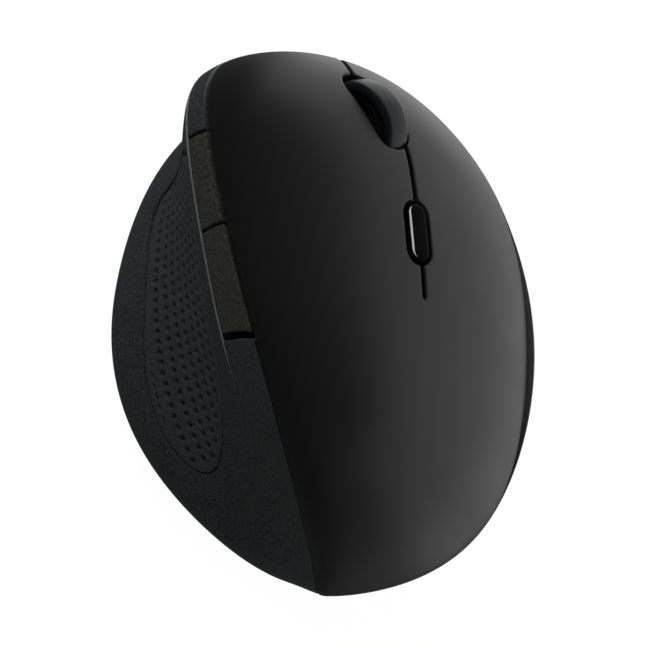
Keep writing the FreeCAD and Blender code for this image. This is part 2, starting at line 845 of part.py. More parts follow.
def shell_boss(x, y, inner):
    """Post under a shell that a screw from below goes into."""
    boss = post(BOSS_RADIUS, x, y, BOSS_FOOT_Z + 0.05, FAR).common(inner)
    return boss.cut(post(SCREW_RADIUS + 0.03, x, y, 0.0, FLOOR_BOTTOM + SCREW_HEAD + SCREW_LENGTH + 0.5))


def with_bosses(shell, wanted, inner):
    for name, x, y, target in SCREWS:
        if target == wanted:
            shell = shell.fuse(shell_boss(x, y, inner))
    return shell


def top_cover(wall, inner):
    cover = wall.common(everywhere(y1=FLEX_Y - FLEX_GAP / 2.0)).common(parting_block(True, PARTING_GAP))
    return with_bosses(cover, "cover", inner)


def side_wall():
    rails = (left_foot, ridge, seam_left)
    return wall_solid(rails, (FLANK_STEPS, STRIP_STEPS), 0.0, WALL, -WALL_ANGLE, WALL_ANGLE)


def rear_cut_block(offset):
    """Everything behind the wide slanted cut at the rear of the side buttons."""
    first = Vector(CUT_REAR_RIDGE[0], CUT_REAR_RIDGE[1], 0)
    second = Vector(CUT_REAR_SEAM[0], CUT_REAR_SEAM[1], 0)
    direction = (second - first).normalize()
    ahead = Vector(-direction.y, direction.x, 0)
    start = first - direction * FAR + ahead * offset
    end = second + direction * FAR + ahead * offset
    outline = [start, end, end - ahead * FAR, start - ahead * FAR, start]
    return Part.Face(Part.makePolygon(outline)).extrude(Vector(0, 0, FAR))


def button_row(low_gap, high_gap, depth_out, depth_in):
    """Wall between the ridge and the seam, as long as the row of side buttons."""
    def low(angle):
        return shifted(ridge, angle, low_gap)

    def high(angle):
        return shifted(seam_place, angle, high_gap)

    start = angle_at(BUTTON_ROW_REAR_Y)
    end = angle_at(BUTTON_ROW_FRONT_Y)
    return wall_solid((low, high), (STRIP_STEPS,), depth_out, depth_in, start, end)


def button_window():
    row = button_row(WINDOW_EDGE, WINDOW_PAST_SEAM, -1.0, WALL + 1.0)
    row = row.common(everywhere(y1=CUT_FRONT_Y))
    return row.cut(rear_cut_block(0.0))


def side_button_blank():
    row = button_row(WINDOW_EDGE + BUTTON_GAP, -SEAM_GAP_FRONT / 2.0, 0.0, WALL)
    return row.cut(rear_cut_block(CUT_WIDE))


def forward_button(blank, inner):
    span = everywhere(y0=CUT_MIDDLE_Y + CUT_NARROW / 2.0, y1=CUT_FRONT_Y - CUT_NARROW)
    return blank.common(span).fuse(side_rib(FORWARD_SWITCH_Y, inner))


def back_button(blank, inner):
    span = everywhere(y1=CUT_MIDDLE_Y - CUT_NARROW / 2.0)
    return blank.common(span).fuse(side_rib(BACK_SWITCH_Y, inner))


def grip_prism(grow):
    """Block over the thumb hollow with the outline of the grip, made wider all round by grow."""
    lean = math.radians(GRIP_LEAN)
    out = Vector(-math.sin(lean), 0, math.cos(lean))
    over = Vector(math.cos(lean), 0, math.sin(lean))
    corners = [over * w + Vector(0, y, 0) + out * 15.0 for y, w in GRIP_OUTLINE]
    points = []
    for index, corner in enumerate(corners):
        along = corners[(index + 1) % len(corners)] - corners[index - 1]
        points.append(corner + along.cross(out).normalize() * grow)
    curve = Part.BSplineCurve()
    curve.interpolate(points, PeriodicFlag=True)
    return Part.Face(Part.Wire(curve.toShape())).extrude(out * 50.0)


def thumb_grip():
    pad = wall_solid((left_foot, ridge), (FLANK_STEPS,), 0.0, GRIP_DEPTH)
    return pad.common(grip_prism(0.0))


def grip_pocket():
    pocket = wall_solid((left_foot, ridge), (FLANK_STEPS,), -1.0, GRIP_DEPTH + GRIP_BACKLASH)
    return pocket.common(grip_prism(GRIP_GAP))


def side_shell(inner):
    shell = side_wall().common(parting_block(True, PARTING_GAP))
    shell = shell.cut(button_window())
    return with_bosses(shell, "side", inner).cut(grip_pocket())


# Mechanism of the keys and the wheel

def in_wheel_frame(shape):
    return placed(shape, wheel_frame())


def wheel_centre():
    return WHEEL_PROUD - WHEEL_RADIUS


def along_axle(radius, length, middle, forward=0.0, up=0.0):
    """Cylinder along the axle, in the wheel's frame."""
    start = Vector(middle - length / 2.0, forward, wheel_centre() + up)
    return Part.makeCylinder(radius, length, start, Vector(1, 0, 0))


def wheel_hub():
    rim = WHEEL_RADIUS - TYRE_THICKNESS
    hub = along_axle(rim, WHEEL_WIDTH - 2.0 * HUB_STEP, 0.0)
    for side in (-1.0, 1.0):
        hub = hub.cut(along_axle(rim - HUB_DISH, HUB_DISH, side * (WHEEL_WIDTH / 2.0 - HUB_STEP)))
    hub = hub.fuse(along_axle(HUB_CORE_RADIUS, WHEEL_WIDTH, 0.0))
    axle_right = CRADLE_OUTER + ENCODER_DEPTH + AXLE_PAST_ENCODER
    axle = along_axle(AXLE_RADIUS, axle_right + AXLE_LEFT, (axle_right - AXLE_LEFT) / 2.0)
    return in_wheel_frame(hub.fuse(axle))


def wheel_tyre():
    tyre = along_axle(WHEEL_RADIUS, WHEEL_WIDTH, 0.0)
    tyre = tyre.cut(along_axle(WHEEL_RADIUS - TYRE_THICKNESS, WHEEL_WIDTH + 2.0, 0.0))
    rims = []
    for edge in tyre.Edges:
        if edge.Curve.TypeId == "Part::GeomCircle" and edge.Curve.Radius > WHEEL_RADIUS - TYRE_ROUND:
            rims.append(edge)
    return in_wheel_frame(tyre.makeFillet(TYRE_ROUND, rims))


def wheel_cradle():
    """Fork around the wheel with a pivot pin behind it and a finger over the wheel's switch."""
    bottom = wheel_centre() - CRADLE_DROP
    rail_top = wheel_centre() - CRADLE_RAIL_DROP
    ear_top = wheel_centre() + CRADLE_EAR_UP
    cradle = span_box(-CRADLE_OUTER, CRADLE_OUTER, CRADLE_REAR, CRADLE_FRONT, bottom, rail_top)
    cradle = cradle.fuse(span_box(-CRADLE_OUTER, CRADLE_OUTER, -CRADLE_EAR, CRADLE_EAR, bottom, ear_top))
    reach = WHEEL_RADIUS + CRADLE_ROOM
    cradle = cradle.cut(everywhere(x0=-CRADLE_INNER, x1=CRADLE_INNER, y0=-reach, y1=reach))
    tip = CRADLE_FRONT + FINGER_LENGTH
    finger = span_box(-FINGER_HALF, FINGER_HALF, CRADLE_FRONT - 0.2, tip, bottom, bottom + FINGER_THICKNESS)
    cradle = cradle.fuse(finger)
    cradle = cradle.fuse(along_axle(PIVOT_RADIUS, 2.0 * EAR_OUTER, 0.0, PIVOT_Y, PIVOT_UP))
    cradle = cradle.cut(along_axle(AXLE_RADIUS + RUNNING_FIT, 30.0, 0.0))
    return in_wheel_frame(cradle)


def wheel_encoder():
    bottom = wheel_centre() - CRADLE_DROP
    top = wheel_centre() + ENCODER_UP
    right = CRADLE_OUTER + ENCODER_DEPTH
    encoder = span_box(CRADLE_OUTER + 0.05, right, -ENCODER_HALF, ENCODER_HALF, bottom, top)
    return in_wheel_frame(encoder.cut(along_axle(AXLE_RADIUS + RUNNING_FIT, 30.0, 0.0)))


def leg_block(x, y):
    return box(LEG_SIDE, LEG_SIDE, 60.0, x, y, FLOOR_TOP + PART_GAP)


def key_deck():
    """Frame under the keys: plate, pads under the board, pivot ears and legs to the floor."""
    top = -DECK_DROP - BOARD - DECK_STANDOFF
    plate = prism(DECK_OUTLINE, top - DECK_PLATE, DECK_PLATE)
    for x, y in DECK_PADS:
        plate = plate.fuse(post(PAD_RADIUS, x, y, top - 0.5, top + DECK_STANDOFF - PART_GAP))
    ear_top = wheel_centre() + PIVOT_UP + EAR_HALF
    for side in (-1.0, 1.0):
        low = min(side * EAR_INNER, side * EAR_OUTER)
        high = max(side * EAR_INNER, side * EAR_OUTER)
        plate = plate.fuse(span_box(low, high, PIVOT_Y - EAR_HALF, PIVOT_Y + EAR_HALF, top - 0.5, ear_top))
    reach = WHEEL_RADIUS + DECK_WHEEL_ROOM
    plate = plate.cut(everywhere(x0=-DECK_WHEEL_HALF, x1=DECK_WHEEL_HALF, y0=-reach, y1=reach, z1=0.0))
    plate = plate.cut(along_axle(PIVOT_RADIUS + RUNNING_FIT, 30.0, 0.0, PIVOT_Y, PIVOT_UP))
    deck = in_wheel_frame(plate)
    under = in_wheel_frame(everywhere(z0=top - 120.0, z1=top - 0.5))
    for x, y in DECK_LEGS:
        deck = deck.fuse(leg_block(x, y).common(under))
    return deck


def key_board():
    """Circuit board of the keys, open in the middle for the wheel and its fork."""
    board = prism(DECK_OUTLINE, -DECK_DROP - BOARD, BOARD)
    rear = CRADLE_REAR - BOARD_NOTCH_ROOM
    front = WHEEL_RADIUS + BOARD_NOTCH_ROOM
    notch = everywhere(x0=BOARD_NOTCH[0], x1=BOARD_NOTCH[1], y0=rear, y1=front)
    return in_wheel_frame(board.cut(notch))


def micro_switch(at):
    length, width, height = SWITCH_SIZE
    switch = box(length, width, height, at[0], at[1], -DECK_DROP + PART_GAP)
    plunger = box(PLUNGER_SIZE[0], PLUNGER_SIZE[1], SWITCH_PLUNGER + 0.2, at[0], at[1], -DECK_DROP + height - 0.18)
    return in_wheel_frame(switch.fuse(plunger))


def tact_switch(side, height, stem, x, y, bottom):
    """Small square switch with a round plunger."""
    switch = box(side, side, height, x, y, bottom)
    return switch.fuse(post(side * 0.28, x, y, bottom + height - 0.1, bottom + height + stem))


def wheel_switch():
    y = CRADLE_FRONT + FINGER_LENGTH - 1.6
    switch = tact_switch(WHEEL_SWITCH_SIDE, WHEEL_SWITCH_BODY, WHEEL_SWITCH_STEM, 0.0, y, -DECK_DROP + PART_GAP)
    return in_wheel_frame(switch)


# Speed button between the keys

def in_speed_frame(shape):
    return placed(shape, speed_frame())


def speed_button():
    cap = capsule(SPEED_LENGTH, SPEED_WIDTH, SPEED_PROUD - SPEED_FLANGE, 0.0, 0.0, SPEED_FLANGE, 90.0)
    top = [edge for edge in cap.Edges if edge.BoundBox.ZMin > SPEED_PROUD - 0.01]
    cap = cap.makeChamfer(SPEED_BEVEL, top)
    grow = 2.0 * SPEED_FLANGE_OUT
    flange = box(SPEED_WIDTH + grow, SPEED_LENGTH + grow, 1.0, 0.0, 0.0, SPEED_FLANGE)
    stem = box(SPEED_STEM[0], SPEED_STEM[1], SPEED_FLANGE - SPEED_STEM_END + 0.5, 0.0, 0.0, SPEED_STEM_END)
    return in_speed_frame(cap.fuse(flange).fuse(stem))


def speed_guide():
    """Square well on the board in which the speed button's stem slides."""
    wall = 2.0 * SPEED_GUIDE_WALL
    top = SPEED_FLANGE - SPEED_TRAVEL - 0.1
    outer = box(SPEED_STEM[0] + wall, SPEED_STEM[1] + wall, 20.0, 0.0, 0.0, top - 20.0)
    fit = 2.0 * RUNNING_FIT
    pocket = box(SPEED_STEM[0] + fit, SPEED_STEM[1] + fit, 20.0, 0.0, 0.0, SPEED_POCKET_FLOOR)
    above_board = in_wheel_frame(everywhere(z0=-DECK_DROP + PART_GAP))
    return in_speed_frame(outer.cut(pocket)).common(above_board)


def speed_switch():
    stem = 0.2
    top = SPEED_STEM_END - SPEED_TRAVEL - 0.05
    bottom = SPEED_POCKET_FLOOR + PART_GAP
    return in_speed_frame(tact_switch(3.6, top - bottom - stem, stem, 0.0, 0.0, bottom))


# Side buttons' switches behind the strip

def in_strip_frame(shape):
    return placed(shape, strip_frame(STRIP_MIDDLE_Y, STRIP_HALF))


def side_board_top():
    return -RIB_END - SIDE_TRAVEL - 0.05 - SIDE_SWITCH


def side_rib(y, inner):
    """Rib behind a side button that reaches towards its switch."""
    rib = box(RIB_SIDE, RIB_SIDE, 12.0, 0.0, y - STRIP_MIDDLE_Y, -RIB_END)
    return in_strip_frame(rib).common(inner)


def side_switch(y):
    stem = 0.3
    bottom = side_board_top() + PART_GAP
    return in_strip_frame(tact_switch(SIDE_SWITCH_SIDE, SIDE_SWITCH - stem, stem, 0.0, y - STRIP_MIDDLE_Y, bottom))


def side_board():
    first = BACK_SWITCH_Y - STRIP_MIDDLE_Y - SIDE_BOARD_END
    last = FORWARD_SWITCH_Y - STRIP_MIDDLE_Y + SIDE_BOARD_END
    top = side_board_top()
    return in_strip_frame(span_box(-SIDE_HALF_WIDTH, SIDE_HALF_WIDTH, first, last, top - SIDE_BOARD, top))


def side_carrier(under_shell):
    """Rail that holds the side board, with a pad at each end under the side shell."""
    top = side_board_top() - SIDE_BOARD - PART_GAP
    half = SIDE_HALF_WIDTH
    carrier = in_strip_frame(span_box(-half, half, CARRIER_REAR, CARRIER_FRONT, top - SIDE_CARRIER, top))
    for rear, front in ((CARRIER_REAR, CARRIER_REAR_PAD), (CARRIER_FRONT_PAD, CARRIER_FRONT)):
        pad = in_strip_frame(span_box(CARRIER_PAD_LEFT, CARRIER_PAD_RIGHT, rear, front, top - 0.5, 12.0))
        carrier = carrier.fuse(pad.common(under_shell))
    return carrier


# Battery bay and its parts

def door_top():
    return FLOOR_BOTTOM + DOOR_THICKNESS


def battery_z():
    return door_top() + 0.3 + BATTERY_RADIUS


def bay_inside():
    """Inside of the bay, seen from above: left, right, rear and front."""
    half = BATTERY_LENGTH / 2.0 + CONTACT_ROOM
    rear = BATTERY_Y - BATTERY_RADIUS - BAY_GAP
    front = BATTERY_Y + BATTERY_RADIUS + BAY_GAP + RECEIVER_SIZE[1] + 2.0 * BAY_GAP
    return BATTERY_X - half, BATTERY_X + half, rear, front


def bay_block(grow, bottom):
    """Room of the bay: round over the cell, square below it and around the receiver."""
    left, right, rear, front = bay_inside()
    length = right - left + 2.0 * grow
    middle = (left + right) / 2.0
    radius = BATTERY_RADIUS + BAY_GAP + grow
    block = span_box(left - grow, right + grow, rear - grow, front + grow, bottom, battery_z())
    block = block.fuse(lying(radius, length, middle, BATTERY_Y, battery_z()))
    reach = RECEIVER_SIZE[0] / 2.0 + 2.0 * BAY_GAP + grow
    top = battery_z() + radius
    return block.fuse(span_box(BATTERY_X - reach, BATTERY_X + reach, BATTERY_Y, front + grow, bottom, top))


def battery_bay():
    return bay_block(BAY_WALL, FLOOR_TOP - 0.5).cut(bay_block(0.0, FLOOR_TOP - 1.0))


def bay_opening():
    left, right, rear, front = bay_inside()
    ledge = DOOR_LEDGE
    return span_box(left + ledge, right - ledge, rear + ledge, front - ledge, -1.0, FLOOR_TOP + 0.5)


def door_recess():
    left, right, rear, front = bay_inside()
    gap = DOOR_GAP
    return span_box(left - gap - DOOR_TRAVEL, right + gap, rear - gap, front + gap, -1.0, door_top() + 0.1)


def battery_door():
    left, right, rear, front = bay_inside()
    door = span_box(left, right, rear, front, FLOOR_BOTTOM + PART_GAP, door_top())
    for step in range(DOOR_GROOVES):
        x = left + DOOR_GROOVE_START + DOOR_GROOVE_PITCH * step
        low = rear + DOOR_GROOVE_END
        high = front - DOOR_GROOVE_END
        door = door.cut(span_box(x, x + 1.0, low, high, 0.0, FLOOR_BOTTOM + 0.5))
    return door


def battery():
    length = BATTERY_LENGTH - BATTERY_NUB
    cell = lying(BATTERY_RADIUS, length, BATTERY_X - BATTERY_NUB / 2.0, BATTERY_Y, battery_z())
    nub = BATTERY_NUB + 1.0
    right = BATTERY_X + BATTERY_LENGTH / 2.0
    return cell.fuse(lying(BATTERY_NUB_RADIUS, nub, right - nub / 2.0, BATTERY_Y, battery_z()))


def contact_plate(left):
    low = BATTERY_Y - CONTACT_HALF
    high = BATTERY_Y + CONTACT_HALF
    return span_box(left, left + CONTACT_PLATE, low, high, FLOOR_TOP + 0.1, battery_z() + CONTACT_HALF)


def battery_plus_contact():
    right = bay_inside()[1] - PART_GAP
    reach = CONTACT_ROOM - 0.1
    pin = lying(CONTACT_PIN_RADIUS, reach, right - reach / 2.0, BATTERY_Y, battery_z())
    return contact_plate(right - CONTACT_PLATE).fuse(pin)


def battery_spring():
    left = bay_inside()[0] + PART_GAP
    height = CONTACT_ROOM - 2.0 * SPRING_WIRE - CONTACT_PLATE - 0.05
    helix = Part.makeHelix(height / SPRING_PITCH, height, SPRING_RADIUS)
    profile = Part.Wire(Part.makeCircle(SPRING_WIRE, Vector(SPRING_RADIUS, 0, 0), Vector(0, 1, 0)))
    coil = Part.Wire(helix).makePipeShell([profile], True, True)
    coil.rotate(Vector(0, 0, 0), Vector(0, 1, 0), 90.0)
    coil.translate(Vector(left + CONTACT_PLATE + SPRING_WIRE * 0.8, BATTERY_Y, battery_z()))
    return contact_plate(left).fuse(coil)


def receiver():
    """Small radio plug kept beside the cell: a plastic cap and a metal plug."""
    front = bay_inside()[3]
    length, thick, high = RECEIVER_SIZE
    y = front - BAY_GAP - thick / 2.0
    left = BATTERY_X - length / 2.0
    bottom = FLOOR_TOP + 0.1
    cap = span_box(left, left + RECEIVER_CAP, y - thick / 2.0, y + thick / 2.0, bottom, bottom + high + 2.0)
    inset = 0.15
    low = y - thick / 2.0 + inset
    plug = span_box(left + RECEIVER_CAP - 0.5, left + length, low, low + thick - 2.0 * inset, bottom + 1.0,
                    bottom + 1.0 + high)
    return cap.fuse(plug)


# Main board, sensor and power switch

def main_board():
    board = prism(MAIN_BOARD_OUTLINE, MAIN_BOARD_Z, BOARD)
    side = LEG_SIDE + 2.0 * BOARD_CUT_GAP
    for x, y in DECK_LEGS:
        board = board.cut(box(side, side, 20.0, x, y, 0.0))
    for name, x, y, target in SCREWS:
        board = board.cut(post(BOSS_FOOT_RADIUS + BOARD_CUT_GAP, x, y, 0.0, 20.0))
    return board


def sensor_window():
    return post(SENSOR_WINDOW_RADIUS, SENSOR_X, SENSOR_Y, 0.0, FLOOR_TOP + 0.5)


def sensor_lens():
    height = MAIN_BOARD_Z - FLOOR_TOP - 2.0 * PART_GAP
    lens = box(LENS_SIZE[0], LENS_SIZE[1], height, SENSOR_X, SENSOR_Y, FLOOR_TOP + PART_GAP)
    return lens.fuse(post(LENS_RADIUS, SENSOR_X, SENSOR_Y, FLOOR_BOTTOM + 0.6, FLOOR_TOP + 0.5))


def sensor_chip():
    length, width, height = CHIP_SIZE
    return box(length, width, height, SENSOR_X, SENSOR_Y, MAIN_BOARD_Z + BOARD + PART_GAP)


def slider_slot():
    gap = 2.0 * SLIDER_GAP
    return box(SLIDER_KNOB[0] + gap, SLIDER_KNOB[1] + SLIDER_TRAVEL + gap, 6.0, SLIDER_X, SLIDER_Y, -1.0)


def power_slider():
    length, width, height = SLIDER_KNOB
    y = SLIDER_Y - SLIDER_TRAVEL / 2.0
    knob = box(length, width, height, SLIDER_X, y, FLOOR_BOTTOM + 0.1)
    for side in (-1.2, 0.0, 1.2):
        knob = knob.cut(box(length + 0.2, 0.5, 0.3, SLIDER_X, y + side, FLOOR_BOTTOM + 0.05))
    return knob.fuse(box(SLIDER_STEM, SLIDER_STEM, SLIDER_STEM_LENGTH, SLIDER_X, y, FLOOR_BOTTOM + 1.5))


def power_switch():
    height = MAIN_BOARD_Z - FLOOR_TOP - 2.0 * PART_GAP
    length, width = POWER_SWITCH_SIZE
    switch = box(length, width, height, SLIDER_X, SLIDER_Y, FLOOR_TOP + PART_GAP)
    groove = SLIDER_STEM + SLIDER_TRAVEL + 0.2
    return switch.cut(box(SLIDER_STEM + 0.2, groove, 1.6, SLIDER_X, SLIDER_Y, FLOOR_TOP - 0.1))


def foot(x, y, length, turn):
    return capsule(length, FOOT_WIDTH, FOOT_THICKNESS, x, y, 0.0, turn)


def screw(x, y):
    seat = FLOOR_BOTTOM + SCREW_SUNK
    head = post(SCREW_HEAD_RADIUS, x, y, seat, seat + SCREW_HEAD)
    length, width, depth = SCREW_CROSS
    cross = box(length, width, 2.0 * depth, x, y, seat - depth)
    cross = cross.fuse(box(width, length, 2.0 * depth, x, y, seat - depth))
    shank = post(SCREW_RADIUS, x, y, FLOOR_BOTTOM + SCREW_HEAD, FLOOR_BOTTOM + SCREW_HEAD + SCREW_LENGTH)
    return head.cut(cross).fuse(shank)


# Assembly

def build_parts():
    in_wall = full_body(WALL - SKIN_OVERLAP)
    under_shell = full_body(WALL + 0.12)
    cover = cover_wall()
    blank = key_blank(cover)
    strip_blank = side_button_blank()
    parts = {
        "base_shell": base_shell(),
        "top_cover": top_cover(cover, in_wall),
        "left_button": left_button(blank, in_wall),
        "right_button": right_button(blank, in_wall),
        "side_shell": side_shell(in_wall),
        "thumb_grip": thumb_grip(),
        "forward_button": forward_button(strip_blank, in_wall),
        "back_button": back_button(strip_blank, in_wall),
        "side_carrier": side_carrier(under_shell),
        "side_board": side_board(),
        "forward_switch": side_switch(FORWARD_SWITCH_Y),
        "back_switch": side_switch(BACK_SWITCH_Y),
        "wheel_hub": wheel_hub(),
        "wheel_tyre": wheel_tyre(),
        "wheel_cradle": wheel_cradle(),
        "wheel_encoder": wheel_encoder(),
        "wheel_switch": wheel_switch(),
        "key_deck": key_deck(),
        "key_board": key_board(),
        "left_switch": micro_switch(LEFT_SWITCH_AT),
        "right_switch": micro_switch(RIGHT_SWITCH_AT),
        "speed_button": speed_button(),
        "speed_guide": speed_guide(),
        "speed_switch": speed_switch(),
        "main_board": main_board(),
        "sensor_chip": sensor_chip(),
        "sensor_lens": sensor_lens(),
        "power_switch": power_switch(),
        "power_slider": power_slider(),
        "battery": battery(),
        "battery_spring": battery_spring(),
        "battery_plus_contact": battery_plus_contact(),
        "receiver": receiver(),
        "battery_door": battery_door(),
    }
    for name, x, y, length, turn in FEET:
        parts[name] = foot(x, y, length, turn)
    for name, x, y, target in SCREWS:
        parts[name] = screw(x, y)
    return parts


os.makedirs("parts", exist_ok=True)
for name, shape in build_parts().items():
    if len(shape.Solids) == 1:
        shape = shape.Solids[0]
    print(name, "solids", len(shape.Solids), "valid", shape.isValid(), "volume", round(shape.Volume, 1))
    shape.exportStep("parts/" + name + ".step")
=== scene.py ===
import math
import bpy
import numpy as np
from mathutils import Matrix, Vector


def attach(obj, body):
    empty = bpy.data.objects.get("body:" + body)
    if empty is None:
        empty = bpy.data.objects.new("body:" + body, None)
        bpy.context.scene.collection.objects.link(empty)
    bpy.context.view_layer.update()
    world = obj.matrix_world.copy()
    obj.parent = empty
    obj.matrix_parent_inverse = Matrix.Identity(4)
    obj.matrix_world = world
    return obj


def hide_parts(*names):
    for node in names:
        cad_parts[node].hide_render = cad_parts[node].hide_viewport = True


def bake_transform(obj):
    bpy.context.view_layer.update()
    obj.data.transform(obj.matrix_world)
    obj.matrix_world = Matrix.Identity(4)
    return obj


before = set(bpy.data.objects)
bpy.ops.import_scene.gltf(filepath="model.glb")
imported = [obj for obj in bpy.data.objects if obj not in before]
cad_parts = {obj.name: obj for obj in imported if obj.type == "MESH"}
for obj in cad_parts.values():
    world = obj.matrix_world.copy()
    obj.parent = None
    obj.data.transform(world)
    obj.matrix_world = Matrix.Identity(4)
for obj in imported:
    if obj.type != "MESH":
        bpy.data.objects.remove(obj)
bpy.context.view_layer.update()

# Right-handed ergonomic mouse. The body form is worked out in millimetres, the meshes are made in metres.
MM = 0.001

# Body form, the same as in the CAD: cross-sections, their handles and the tips at both ends
HALF_LENGTH = 60.0
SECTION_Y = (-42.0, -14.0, 14.0, 42.0)
LEFT_FOOT_X = (-29.4, -45.6, -45.9, -33.7)
RIGHT_FOOT_X = (37.6, 45.9, 45.2, 33.0)
RIDGE_X = (-9.9, -20.1, -25.9, -27.8)
RIDGE_Z = (29.3, 42.6, 47.2, 42.2)
CREST_X = (2.0, -7.1, -12.3, -11.8)
CREST_Z = (42.1, 53.7, 55.5, 51.7)
SEAM_X = (-6.0, -14.2, -21.1, -23.9)
REAR_TIP_X = -0.5
FRONT_TIP_X = 0.8
TIP_Z = -4.0
TIP_ANGLE = 88.3
RIM_START = 20.0
LEDGE_RIM = 31.0
LEDGE_RIM_IN = 0.062
HOLLOW_LOW = 15.0
HOLLOW_IN = 0.157
WALL_UP = 0.79
WALL_IN = -3.5
HOLLOW_ENDS_Y = -48.0
HOLLOW_FULL_Y = -18.0
BACK_RISE_LOW = 0.28
BACK_RISE_HIGH = 0.55
BACK_IN = 0.04
BACK_HANDLE = 0.35
STRIP_ANGLE = 60.0
STRIP_HANDLE = 0.45
SHOULDER_OUT = 0.50
SHOULDER_UP = 0.52
HANDLE_LIMIT = 0.75
UNDERCUT = 0.08
UNDERCUT_Z = 12.0
TIP_FADE = 6

# Places around the body, which run from 0 at the left foot to the crest at 2 and on to the right foot
AT_RIDGE = 1.0
AT_RIGHT_FOOT = 3.0

# Walls, the parting line above the base, and the seam between the crown and the side shell
WALL = 2.2
PARTING_Z = 7.2
PARTING_RISE_X = 0.08
PARTING_RISE_Y = 0.045
SIDE_ABOVE_PARTING = 0.15
CROWN_ABOVE_PARTING = 0.18
KEY_ROOM_SLOPE = 0.022
KEY_ROOM_LIMIT = 1.2
SEAM_GAP_FRONT = 0.9
SEAM_GAP_REAR = 0.25
SEAM_LOWEST = 0.05
SEAM_HIGHEST = 0.98

# Split between the keys, the line where they leave the palm, and the rear end of the crown's right piece
SPLIT_PATH = ((1.0, 62.0), (6.3, 46.4), (12.0, 37.0), (17.2, 30.0), (19.3, 18.0), (20.4, 6.0), (21.0, -4.0))
SPLIT_GAP = 0.62
SPLIT_REACH = 60.0
FLEX_Y = -5.0
RIGHT_PIECE_REAR_Y = -12.0

# Scroll wheel, and its slot as long and as far ahead as the photo shows it
WHEEL_X = 12.0
WHEEL_Y = 37.0
WHEEL_SLOT_FRONT = (6.3, 46.3)
WHEEL_SLOT_REAR = (17.3, 30.1)
WHEEL_SLOT_LENGTH = 20.6
WHEEL_SLOT_AHEAD = 0.7
WHEEL_SLOT_WIDTH = 8.8
WHEEL_RADIUS = 10.4
WHEEL_WIDTH = 6.6
WHEEL_PROUD = 3.6
TYRE_THICKNESS = 2.2
TYRE_CORNER = 1.3
TYRE_CROWN = 0.12
TYRE_CROWN_HALF = 2.0
TYRE_CROWN_POINTS = (-1.2, -0.6, 0.0, 0.6, 1.2)

# Speed button: a long bar in a slot, with pairs of height and inset from its foot to its top
SPEED_X = 19.8
SPEED_Y = 10.1
SPEED_LEAN = 0.4
SPEED_RUN = 5.0
SPEED_LENGTH = 12.8
SPEED_WIDTH = 4.9
SPEED_SLOT_GAP = 0.75
SPEED_LEVELS = (
    (-3.9, 0.0), (-0.35, 0.0), (0.02, 0.06), (0.22, 0.26), (0.40, 0.62), (0.48, 1.0), (0.55, 1.6),
)

# Side buttons: cuts before, between and behind them, and gaps at the ridge, as the photo shows them
CUT_FRONT_Y = 30.25
CUT_MIDDLE_Y = 9.1
CUT_REAR_RIDGE = (-20.8, -12.8)
CUT_REAR_SEAM = (-14.0, -15.4)
CUT_NARROW = 0.70
CUT_MIDDLE = 0.60
CUT_WIDE = 1.2
WINDOW_UP = -0.06
CAP_GAP = 0.48
BUTTON_SKIN_REAR_Y = -22.0
BUTTON_SKIN_FRONT_Y = 34.0

# Grip, outlined in a plane that leans with the flank: the distance ahead, then the one up the flank
GRIP_LEAN = 58.0
GRIP_GAP = 0.15
GRIP_DEPTH = 1.2
GRIP_OUTLINE = (
    (29.2, 16.0), (29.2, 8.0), (27.6, 0.0), (23.8, -2.6), (16.4, -3.0), (4.0, -2.6), (-12.0, -3.8),
    (-21.0, -4.0), (-28.0, -3.2), (-32.8, -0.8), (-34.4, 2.8), (-32.6, 7.4), (-28.0, 12.0),
    (-20.5, 17.2), (-12.0, 20.4), (0.0, 21.8), (12.0, 22.6), (21.0, 22.8), (27.0, 21.2),
)
GRIP_SKIN_REAR_Y = -36.0
GRIP_SKIN_FRONT_Y = 32.0
GRIP_SKIN_LOW = 0.25

# Visual model only, the pits of the grip and the wider front of the groove around it
GROOVE_WIDE = 1.0
GROOVE_FROM_Y = 8.0
GROOVE_FULL_Y = 26.0
PIT_PITCH_ALONG = 2.25
PIT_PITCH_ACROSS = 2.9
PIT_RADIUS = 0.90
PIT_DEPTH = 0.75
PIT_STEEPNESS = 1.25
PIT_MARGIN = 1.3

# Visual model only, a fuller front of the thumb hollow. The last value lets its curve peak at 1.
SWELL = 1.4
SWELL_FROM_Y = 5.0
SWELL_FULL_Y = 46.0
SWELL_PEAK = 6.75

# Visual model only, beads that taper at both ends and are coloured light as painted highlights: one along the
# ridge, one on the edge of the speed bar
BEAD_RADIUS = 0.25
BEAD_FRONT_Y = 46.0
BEAD_REAR_Y = -22.0
BEAD_TAPER = 6.0
BEAD_END = 0.1
SPEED_HIGHLIGHT_IN = 0.45
SPEED_HIGHLIGHT_UP = 0.28
SPEED_HIGHLIGHT_RADIUS = 0.24
SPEED_HIGHLIGHT_TAPER = 3.0
SPEED_HIGHLIGHT_START = 115.0
SPEED_HIGHLIGHT_LEFT = 180.0
SPEED_HIGHLIGHT_END = 250.0

# Visual model only, rolled edges, and the shares of a roll at which a skin gets a ring of points
EDGE_ROLL = 0.45
SIDE_ROLL = 0.30
BUTTON_ROLL = 0.35
GRIP_ROLL = 0.4
RING_SHARES = (1.0, 0.5, 0.18)
PLAIN_FROM = 1.02

# Values for the left and right key, in metres
LEFT_KEY_X = 0.0
RIGHT_KEY_X = 0.02

